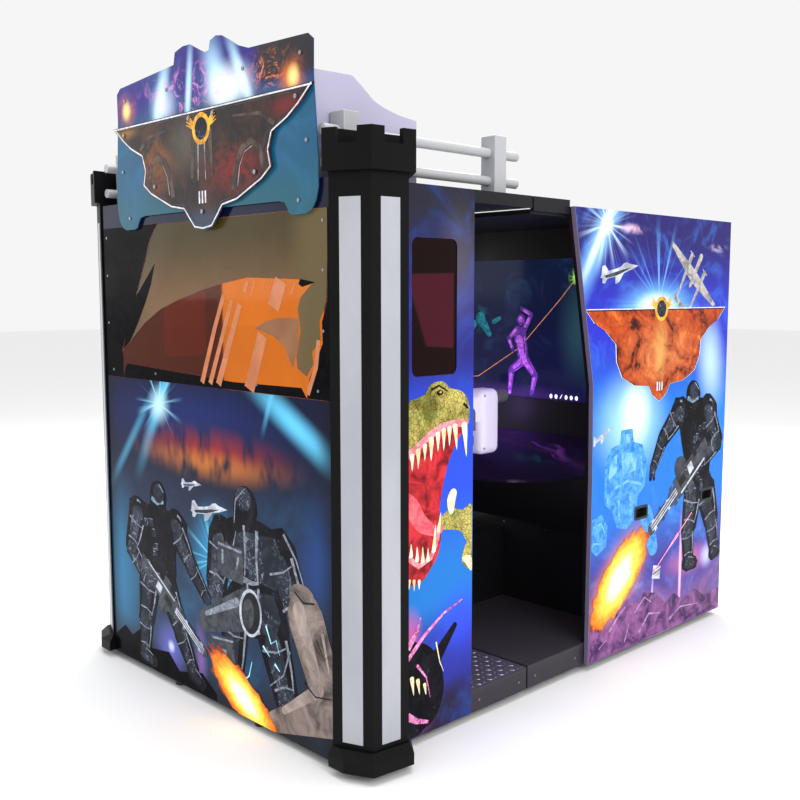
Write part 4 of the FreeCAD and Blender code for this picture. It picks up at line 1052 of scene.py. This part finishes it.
for side in ("right", "left"):
    plane = SIDE[side]
    put = lambda name, outlines, lift, tree: decal("reptile_" + name + "_" + side, outlines, plane,
        lift * LIFT, tree)
    put("maw", [curved(MAW, 3)], 1.0, mouth)
    put("jaw", [curved(JAW, 3)], 2.4, mouth)
    put("tongue", [curved(pts(-948, 930, -900, 900, -860, 840, -800, 790, -760, 785, -790, 755, -860, 770,
        -910, 800, -948, 860), 3)], 3.8, tongue)
    put("arm", [curved(ARM, 3), curved(pts(-607, 700, -640, 700, -665, 640, -630, 600, -607, 610), 2)],
        2.4, skin)
    put("head", [curved(SKULL, 3)], 3.8, skin)
    put("gums", [stroke(pts(-945, 1060, -900, 1085, -840, 1122, -770, 1150, -690, 1155, -640, 1150),
        0.028, 1.0), stroke(pts(-945, 700, -890, 660, -830, 680, -795, 740, -785, 800), 0.022, 0.8)], 5.2,
        gums)
    put("teeth", [fang(-0.925, 1.065, 0.020, 0.06), fang(-0.895, 1.08, 0.022, 0.07),
        fang(-0.862, 1.095, 0.020, 0.06), fang(-0.83, 1.115, 0.026, 0.085),
        fang(-0.795, 1.13, 0.022, 0.07), fang(-0.765, 1.14, 0.022, 0.08),
        fang(-0.735, 1.145, 0.022, 0.07), fang(-0.705, 1.15, 0.024, 0.095, 0.01),
        fang(-0.655, 1.15, 0.030, 0.125, 0.012), fang(-0.93, 0.70, 0.018, -0.05),
        fang(-0.90, 0.68, 0.018, -0.055), fang(-0.872, 0.67, 0.018, -0.06),
        fang(-0.845, 0.67, 0.018, -0.05), fang(-0.815, 0.70, 0.020, -0.10, 0.01),
        fang(-0.79, 0.77, 0.018, -0.07, 0.012), fang(-0.94, 0.62, 0.016, 0.035),
        fang(-0.915, 0.615, 0.014, 0.04), fang(-0.89, 0.61, 0.014, 0.035)], 6.6, ivory)
    put("claws", [curved(pts(-735, 830, -745, 880, -720, 915, -695, 905, -705, 860, -715, 825), 3),
        curved(pts(-665, 650, -640, 620, -615, 590, -607, 605, -615, 650), 2)], 6.6, ivory)
    put("eye", [ring(-0.785, 1.272, 0.018, 0.010, 16)], 5.2, dark_line)
    put("eye_spark", [ring(-0.782, 1.274, 0.006, 0.004, 10)], 6.6, gold)
    put("brow", [stroke(pts(-830, 1285, -790, 1298, -745, 1275), 0.010, 0.5),
        stroke(pts(-660, 1225, -635, 1205), 0.010)], 6.6, dark_line)
    put("beast", [curved(pts(-946, 360, -890, 380, -820, 340, -770, 260, -760, 160, -800, 80, -860, 50,
        -946, 40), 3), capsule((-0.80, 0.30), (-0.70, 0.40), 0.030, 0.012)], 0.6, suit)
    put("streaks", [stroke(pts(-945, 330, -860, 400, -760, 460, -660, 490), 0.020, 0.2),
        stroke(pts(-945, 370, -900, 420, -880, 470), 0.028, 0.2),
        stroke(pts(-900, 300, -850, 240, -830, 160), 0.012, 0.2),
        stroke(pts(-945, 120, -900, 90, -840, 70), 0.030, 0.4)], 1.0, magenta)
    put("tusks", [fang(-0.925, 0.26, 0.020, 0.07, 0.01), fang(-0.895, 0.245, 0.018, 0.06, 0.01),
        fang(-0.86, 0.22, 0.016, 0.045, 0.008), stroke(pts(-800, 360, -780, 280, -760, 240),
        0.006, 0.3)], 2.4, ivory)


# ------------------------------------------------------------------ marquee layers

half_badge = pts(58, 1866, 100, 1908, 128, 1938, 220, 1952, 300, 1984, 370, 2012, 425, 2050, 410, 2108,
    432, 2166, 518, 2202, 580, 2240, 650, 2296)
full_badge = [(SIGN_X + x, z) for x, z in [(0.0, 1.858)] + half_badge
    + [(-x, z) for x, z in reversed(half_badge)]]


def shrunk(points, cx, cy, k):
    return [(cx + (x - cx) * k, cy + (y - cy) * k) for x, y in points]


def rim(outline, width):
    """Thin closed border just inside an outline, as short quads."""
    quads = []
    n = len(outline)
    for i in range(n):
        a, b = outline[i], outline[(i + 1) % n]
        dx, dy = b[0] - a[0], b[1] - a[1]
        size = math.hypot(dx, dy)
        nx, ny = -dy / size * width, dx / size * width
        quads.append([a, b, (b[0] + nx, b[1] + ny), (a[0] + nx, a[1] + ny)])
    return quads


def sign(points):
    return [(SIGN_X + x, z) for x, z in points]


smoke = tinted_print("smoke_print", (0.02, 0.018, 0.018), (0.12, 0.085, 0.065), 9.0, 0.15)
chrome = tinted_print("chrome_print", (0.05, 0.07, 0.09), (0.42, 0.44, 0.48), 12.0, 0.2)
plate_print("marquee_badge_rim", rim(shrunk(full_badge, SIGN_X, 2.10, 0.985), 0.0055), 2.0,
    white_line)
plate_print("marquee_badge_line", rim(shrunk(full_badge, SIGN_X, 2.115, 0.92), 0.003), 2.0,
    plate_grey)
plate_print("marquee_tab_stripes", [sign(stroke([(k * 0.020, 2.000), (k * 0.020, 1.955)], 0.009))
    for k in (-1.0, 0.0, 1.0)], 2, white_line)
curls = []
for k in (-1.0, 1.0):
    curls.append(sign(stroke([(k * 0.20, 1.99), (k * 0.215, 2.07), (k * 0.255, 2.13), (k * 0.31, 2.15),
        (k * 0.36, 2.12), (k * 0.375, 2.05)], 0.026, 0.8)))
    curls.append(sign(stroke([(k * 0.055, 2.22), (k * 0.065, 2.05)], 0.026, 0.7)))
    curls.append(sign(stroke([(k * 0.44, 2.19), (k * 0.36, 2.235), (k * 0.20, 2.245)], 0.018, 0.4)))
plate_print("marquee_curls", curls, 2, smoke)
plate_print("marquee_curl_edges", [sign(stroke(pts(225, 2000, 240, 2070, 270, 2115, 315, 2130),
    0.005, 0.5)), sign(stroke(pts(-225, 2000, -240, 2070, -270, 2115), 0.005, 0.5)),
    sign(stroke(pts(20, 2200, 25, 2040), 0.008, 0.5)),
    sign(stroke(pts(-20, 2200, -25, 2040), 0.008, 0.5))], 4, chrome)
roundel(SIGN_X, 2.225, 0.058, gold, suit_mid, "marquee_disc", EMBLEM, 4.0)


# ------------------------------------------------------------------ screen picture

violet_glow = tinted_print("figure_violet", (0.16, 0.03, 0.34), (0.48, 0.14, 0.66), 40.0, 0.9)
violet_dim = tinted_print("figure_dim", (0.04, 0.012, 0.16), (0.14, 0.04, 0.30), 30.0, 0.7)
cyan_glow = tinted_print("figure_cyan", (0.0, 0.06, 0.10), (0.02, 0.22, 0.26), 24.0, 0.7)
rope_glow = tinted_print("rope_orange", (0.50, 0.18, 0.06), (0.75, 0.30, 0.10), 30.0, 0.9)
digit_glow = tinted_print("digit_white", (0.75, 0.75, 0.80), (0.95, 0.95, 1.0), 30.0, 1.2)
climber = bone_list(100, 1420, 125, 1300, 40, 30, 85, 1450, 30, 1400, 16, 12, 30, 1400, 60, 1340, 12, 10,
    130, 1450, 170, 1520, 16, 12, 170, 1520, 110, 1550, 12, 10, 120, 1290, 50, 1240, 26, 18, 50, 1240, 40,
    1130, 18, 12, 140, 1290, 200, 1220, 26, 18, 200, 1220, 180, 1130, 18, 12, 105, 1490, 110, 1500, 24,
    24)
c_base, c_plates, c_glints = limbs(climber)
screen_print("screen_climber", c_base, 1.0, violet_dim)
screen_print("screen_climber_light", c_plates + c_glints, 2.4, violet_glow)
screen_print("screen_rope", [stroke(pts(-600, 1155, -170, 1198, 100, 1355, 350, 1600, 440, 1700),
    0.0032)], 1.0, rope_glow)
screen_print("screen_shapes", pills(-160, 1500, -100, 1420, 30, 16, -200, 1470, -240, 1400, 18, 10, -70,
    1480, -30, 1500, 12, 10), 1.0, cyan_glow)
dots = []
for k in range(6):
    cx = 0.30 + 0.030 * k
    if k != 2:
        dots.append(ring(cx, 1.126, 0.0085, 0.011, 10))
dots.append(stroke(pts(354, 1118, 366, 1138), 0.004))
screen_print("screen_counter", dots, 1.0, digit_glow)


# ------------------------------------------------------------------ small solid helpers

def box_into(bm, lo, hi):
    verts = [bm.verts.new((x, y, z)) for x in (lo[0], hi[0]) for y in (lo[1], hi[1])
        for z in (lo[2], hi[2])]
    for quad in ((0, 1, 3, 2), (4, 6, 7, 5), (0, 4, 5, 1), (2, 3, 7, 6), (0, 2, 6, 4), (1, 5, 7, 3)):
        bm.faces.new([verts[i] for i in quad])


def drum_into(bm, center, axis, radius, length, count=32, top=None):
    """Cylinder along an axis from its base centre; `top` makes a tapered end."""
    top = radius if top is None else top
    side = Vector(axis).orthogonal().normalized()
    up = Vector(axis).normalized()
    other = up.cross(side)
    rings = []
    for r, h in ((radius, 0.0), (top, length)):
        rings.append([bm.verts.new(Vector(center) + up * h + (side * math.cos(2 * math.pi * i / count)
            + other * math.sin(2 * math.pi * i / count)) * r) for i in range(count)])
    bm.faces.new(rings[0][::-1])
    bm.faces.new(rings[1])
    for i in range(count):
        j = (i + 1) % count
        bm.faces.new((rings[0][i], rings[0][j], rings[1][j], rings[1][i]))


def soften(o, width):
    """Rounds the sharp edges by a small bevel."""
    m = o.modifiers.new("soft_edge", "BEVEL")
    m.width = width
    m.segments = 2
    m.limit_method = "ANGLE"
    return o


def tube(name, points, radius, tree, body="cabinet"):
    """Round bead along a polyline."""
    curve = bpy.data.curves.new(name + "_path", "CURVE")
    curve.dimensions = "3D"
    curve.bevel_depth = radius
    curve.bevel_resolution = 3
    spline = curve.splines.new("POLY")
    spline.points.add(len(points) - 1)
    for p, co in zip(spline.points, points):
        p.co = (*co, 1.0)
    spline.use_cyclic_u = True
    temp = bpy.data.objects.new(name + "_tube", curve)
    scene.collection.objects.link(temp)
    deps = bpy.context.evaluated_depsgraph_get()
    mesh = bpy.data.meshes.new_from_object(temp.evaluated_get(deps))
    bpy.data.objects.remove(temp)
    mesh.name = name
    mesh.materials.clear()
    mesh.materials.append(tree.mat)
    for p in mesh.polygons:
        p.use_smooth = True
    o = bpy.data.objects.new(name, mesh)
    scene.collection.objects.link(o)
    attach(o, body)
    return o


# ------------------------------------------------------------------ tread plate bars

def tread_bars():
    """Raised lozenges in a checker of alternating turns over the threshold plate."""
    bm = bmesh.new()
    top = 0.1240
    pitch, length, width, rise = 0.034, 0.024, 0.0050, 0.0011
    rows = int(0.312 / pitch)
    cols = int(1.60 / pitch)
    for i in range(cols):
        for j in range(rows):
            cx = -0.782 + (i + 0.5) * pitch
            cy = -0.597 + (j + 0.5) * pitch
            turn = math.pi / 4 if (i + j) % 2 else -math.pi / 4
            c, s = math.cos(turn), math.sin(turn)
            low = [(-length / 2, 0.0), (0.0, -width / 2), (length / 2, 0.0), (0.0, width / 2)]
            a = [bm.verts.new((cx + x * c - y * s, cy + x * s + y * c, top - 0.0002)) for x, y in low]
            b = [bm.verts.new((cx + 0.6 * (x * c - y * s), cy + 0.6 * (x * s + y * c), top + rise)) for x,
                y in low]
            bm.faces.new(b)
            for k in range(4):
                n = (k + 1) % 4
                bm.faces.new((a[k], a[n], b[n], b[k]))
    return new_object("tread_bars", bm, bar_mat, "cabinet")


tread_bars()


# ------------------------------------------------------------------ seat cushions

def vinyl_mat():
    t = Tree("seat_vinyl")
    grain = t.cells(scale=520.0, feature="DISTANCE_TO_EDGE")
    mottle = t.noise(scale=5.0, detail=5.0)
    t.set(color=t.mix(mottle, (0.012, 0.012, 0.015), (0.035, 0.034, 0.042)),
          rough=t.ramp(mottle, 0.3, 0.7, 0.34, 0.52), coat=0.15)
    t.bump(grain, 0.35, 0.0006)
    return t


vinyl = vinyl_mat()
piping = finish("piping", (0.05, 0.045, 0.06), rough=0.4, grain=500.0, depth=0.2)


def cushion(name, node, lo, hi, shrink, crown, cuts, fill):
    """Crowned vinyl cushion: a soft block blown up inside its cover, with stitched channels."""
    bm = bmesh.new()
    box_into(bm, [a + shrink for a in lo], [b - shrink for b in hi])
    o = new_object(name, bm, vinyl, "cabinet", smooth=True)
    bev = o.modifiers.new("round", "BEVEL")
    bev.width = 0.022
    bev.segments = 4
    remesh = o.modifiers.new("remesh", "REMESH")
    remesh.mode = "VOXEL"
    remesh.voxel_size = 0.010
    apply_modifiers(o)
    inflate(o)
    o.modifiers.new("fine", "SUBSURF").levels = 1
    apply_modifiers(o)
    settle(o, lo, hi, crown, cuts)
    for p in o.data.polygons:
        p.use_smooth = True
    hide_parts(node)
    return o


def apply_modifiers(o):
    deps = bpy.context.evaluated_depsgraph_get()
    mesh = bpy.data.meshes.new_from_object(o.evaluated_get(deps))
    mesh.name = o.name
    o.modifiers.clear()
    o.data = mesh


SWELL = 0.012         # furthest the cover may blow outward
SINK = 0.003          # furthest it may pull inward
PRESSURE = 4.0
LAST_FRAME = 20
SKIN = 0.002          # gap kept between the cover and its box
CHANNEL_DEPTH = 0.010
CHANNEL_REACH = 0.012
LOW_PART = 0.55       # the crown and channels act above this share of the thickness


def inflate(o):
    cloth = o.modifiers.new("cover", "CLOTH")
    cloth.settings.quality = 5
    cloth.settings.mass = 0.3
    cloth.settings.tension_stiffness = 20.0
    cloth.settings.compression_stiffness = 20.0
    cloth.settings.shear_stiffness = 8.0
    cloth.settings.bending_stiffness = 2.0
    cloth.settings.use_pressure = True
    cloth.settings.uniform_pressure_force = PRESSURE
    cloth.settings.effector_weights.gravity = 0.0
    cloth.point_cache.frame_start = 1
    cloth.point_cache.frame_end = LAST_FRAME
    before = [v.co.copy() for v in o.data.vertices]
    middle = sum(before, Vector()) / len(before)
    for f in range(1, LAST_FRAME + 1):
        scene.frame_set(f)
    apply_modifiers(o)
    scene.frame_set(1)
    for v, rest in zip(o.data.vertices, before):
        for k in range(3):
            way = 1.0 if rest[k] > middle[k] else -1.0
            move = (v.co[k] - rest[k]) * way
            v.co[k] = rest[k] + way * min(SWELL, max(-SINK, move))


def smooth_step(v):
    v = min(1.0, max(0.0, v))
    return v * v * (3.0 - 2.0 * v)


def settle(o, lo, hi, crown, cuts):
    """Keep the blown shape inside its cover, add the crown and press in the sewn channels."""
    axis = 2 if crown[0] == "z" else 1
    other = 1 if axis == 2 else 2
    for v in o.data.vertices:
        co = v.co
        for k in range(3):
            co[k] = min(hi[k] - SKIN, max(lo[k] + SKIN, co[k]))
        if (co[axis] - lo[axis]) / (hi[axis] - lo[axis]) < LOW_PART:
            continue
        fx = (co.x - lo[0]) / (hi[0] - lo[0])
        fo = (co[other] - lo[other]) / (hi[other] - lo[other])
        edge = smooth_step(min(fx, 1.0 - fx) / 0.10) * smooth_step(min(fo, 1.0 - fo) / 0.22)
        drop = (1.0 - edge) * crown[1]
        for cut in cuts:
            d = abs(co.x - cut)
            drop += CHANNEL_DEPTH * math.exp(-(d / CHANNEL_REACH) ** 2)
        co[axis] -= drop
    o.data.update()


seat_box = ((-0.620, -1.125, 0.4186), (0.620, -0.765, 0.505))
back_box = ((-0.620, -1.221, 0.530), (0.620, -1.130, 1.060))
channels = (-0.31, 0.0, 0.31)
cushion("seat_cushion_cover", "seat_cushion", *seat_box, 0.006, ("z", 0.018), channels, 0.8)
cushion("back_cushion_cover", "back_cushion", *back_box, 0.006, ("y", 0.016), channels, 0.8)


def piping_loop(name, lo, hi, axis, at, radius=0.0035, inset=0.004, corner=0.03):
    """Welt that follows the rounded outline of a cushion face."""
    other = 1 if axis == 2 else 2
    loop = []
    for cx, co, start in ((hi[0], hi[other], 0.0), (lo[0], hi[other], 90.0), (lo[0], lo[other], 180.0),
            (hi[0], lo[other], 270.0)):
        sx = -1.0 if cx == hi[0] else 1.0
        so = -1.0 if co == hi[other] else 1.0
        mx, mo = cx + sx * (corner + inset), co + so * (corner + inset)
        for k in range(7):
            a = math.radians(start + 15.0 * k)
            p = [0.0, 0.0, 0.0]
            p[0] = mx + corner * math.cos(a)
            p[other] = mo + corner * math.sin(a)
            p[axis] = at
            loop.append(p)
    return tube(name, loop, radius, piping, "cabinet")


piping_loop("seat_piping", *seat_box, 2, 0.484)
piping_loop("back_piping", *back_box, 1, -1.152)


# ------------------------------------------------------------------ gun detail

GUN_X = 0.300     # each gun stands this far from the middle


def gun_detail(side, sx):
    """Grille slots and screws on one gun."""
    cx = GUN_X * sx
    body = "gun_" + side
    bm = bmesh.new()
    for z in (0.965, 0.985, 1.005, 1.025, 1.045):
        box_into(bm, (cx - 0.030, 0.0975, z), (cx + 0.030, 0.0992, z + 0.008))
    o = new_object("gun_grille_" + side, bm, black_plastic, body)
    soften(o, 0.0006)
    bm = bmesh.new()
    for k in (-1.0, 1.0):
        for y, z in ((-0.012, 1.172), (0.076, 1.172), (-0.012, 0.935), (0.076, 0.935)):
            drum_into(bm, (cx + k * 0.0575, y, z), (k, 0, 0), 0.0050, 0.0018, 20, 0.0042)
    for k in (-1.0, 1.0):
        for y, z in ((-0.30, 1.15), (-0.20, 1.15), (-0.08, 1.15)):
            drum_into(bm, (cx + k * 0.0415, y, z), (k, 0, 0), 0.0042, 0.0016, 20, 0.0034)
    new_object("gun_screws_" + side, bm, steel, body)


for side, sx in (("right", 1.0), ("left", -1.0)):
    gun_detail(side, sx)


# ------------------------------------------------------------------ studio

floor_bm = bmesh.new()
bmesh.ops.create_grid(floor_bm, x_segments=1, y_segments=1, size=40.0)
floor_data = bpy.data.meshes.new("floor")
floor_bm.to_mesh(floor_data)
floor_bm.free()
floor = bpy.data.objects.new("floor", floor_data)
scene.collection.objects.link(floor)
floor_data.materials.append(finish("studio_floor", (0.90, 0.90, 0.91), rough=0.65, vary=0.01, grain=60.0,
    depth=0.02).mat)

world = bpy.data.worlds.new("studio")
scene.world = world
world.use_nodes = True
background = world.node_tree.nodes["Background"]
background.inputs["Color"].default_value = (1.0, 1.0, 1.0, 1.0)
background.inputs["Strength"].default_value = 0.92


def area(name, where, aim, size, power, color=(1.0, 1.0, 1.0), size_y=None):
    data = bpy.data.lights.new(name, "AREA")
    data.energy = power
    data.color = color
    data.size = size
    if size_y:
        data.shape = "RECTANGLE"
        data.size_y = size_y
    o = bpy.data.objects.new(name, data)
    o.location = where
    o.rotation_euler = (Vector(aim) - Vector(where)).to_track_quat("-Z", "Y").to_euler()
    scene.collection.objects.link(o)
    return o


def lamp(name, where, power, color, radius=0.06):
    data = bpy.data.lights.new(name, "POINT")
    data.energy = power
    data.color = color
    data.shadow_soft_size = radius
    o = bpy.data.objects.new(name, data)
    o.location = where
    scene.collection.objects.link(o)
    return o


area("key", (6.5, -2.2, 4.2), (0.0, 0.0, 1.0), 3.0, 190.0, (1.0, 0.98, 0.97))
area("fill", (-4.5, -4.0, 3.0), (0.0, 0.0, 1.0), 3.0, 40.0)
area("back", (-3.6, 4.6, 4.0), (0.0, 0.0, 0.6), 2.4, 260.0)
glow = area("screen_glow", (0.0, 0.50, 1.45), (0.0, -0.6, 1.0), 1.1, 5.0, (0.45, 0.32, 1.0), 0.6)
glow.visible_glossy = False
deck_lamp = lamp("deck_lamp", (0.10, 0.42, 1.06), 2.2, (0.55, 0.30, 1.0), 0.03)
deck_lamp.visible_glossy = False
area("overhead", (0.0, 0.0, 7.5), (0.0, 0.0, 0.0), 5.0, 420.0)
lamp("floor_lamp", (0.10, -0.45, 0.55), 0.8, (0.72, 0.55, 1.0))
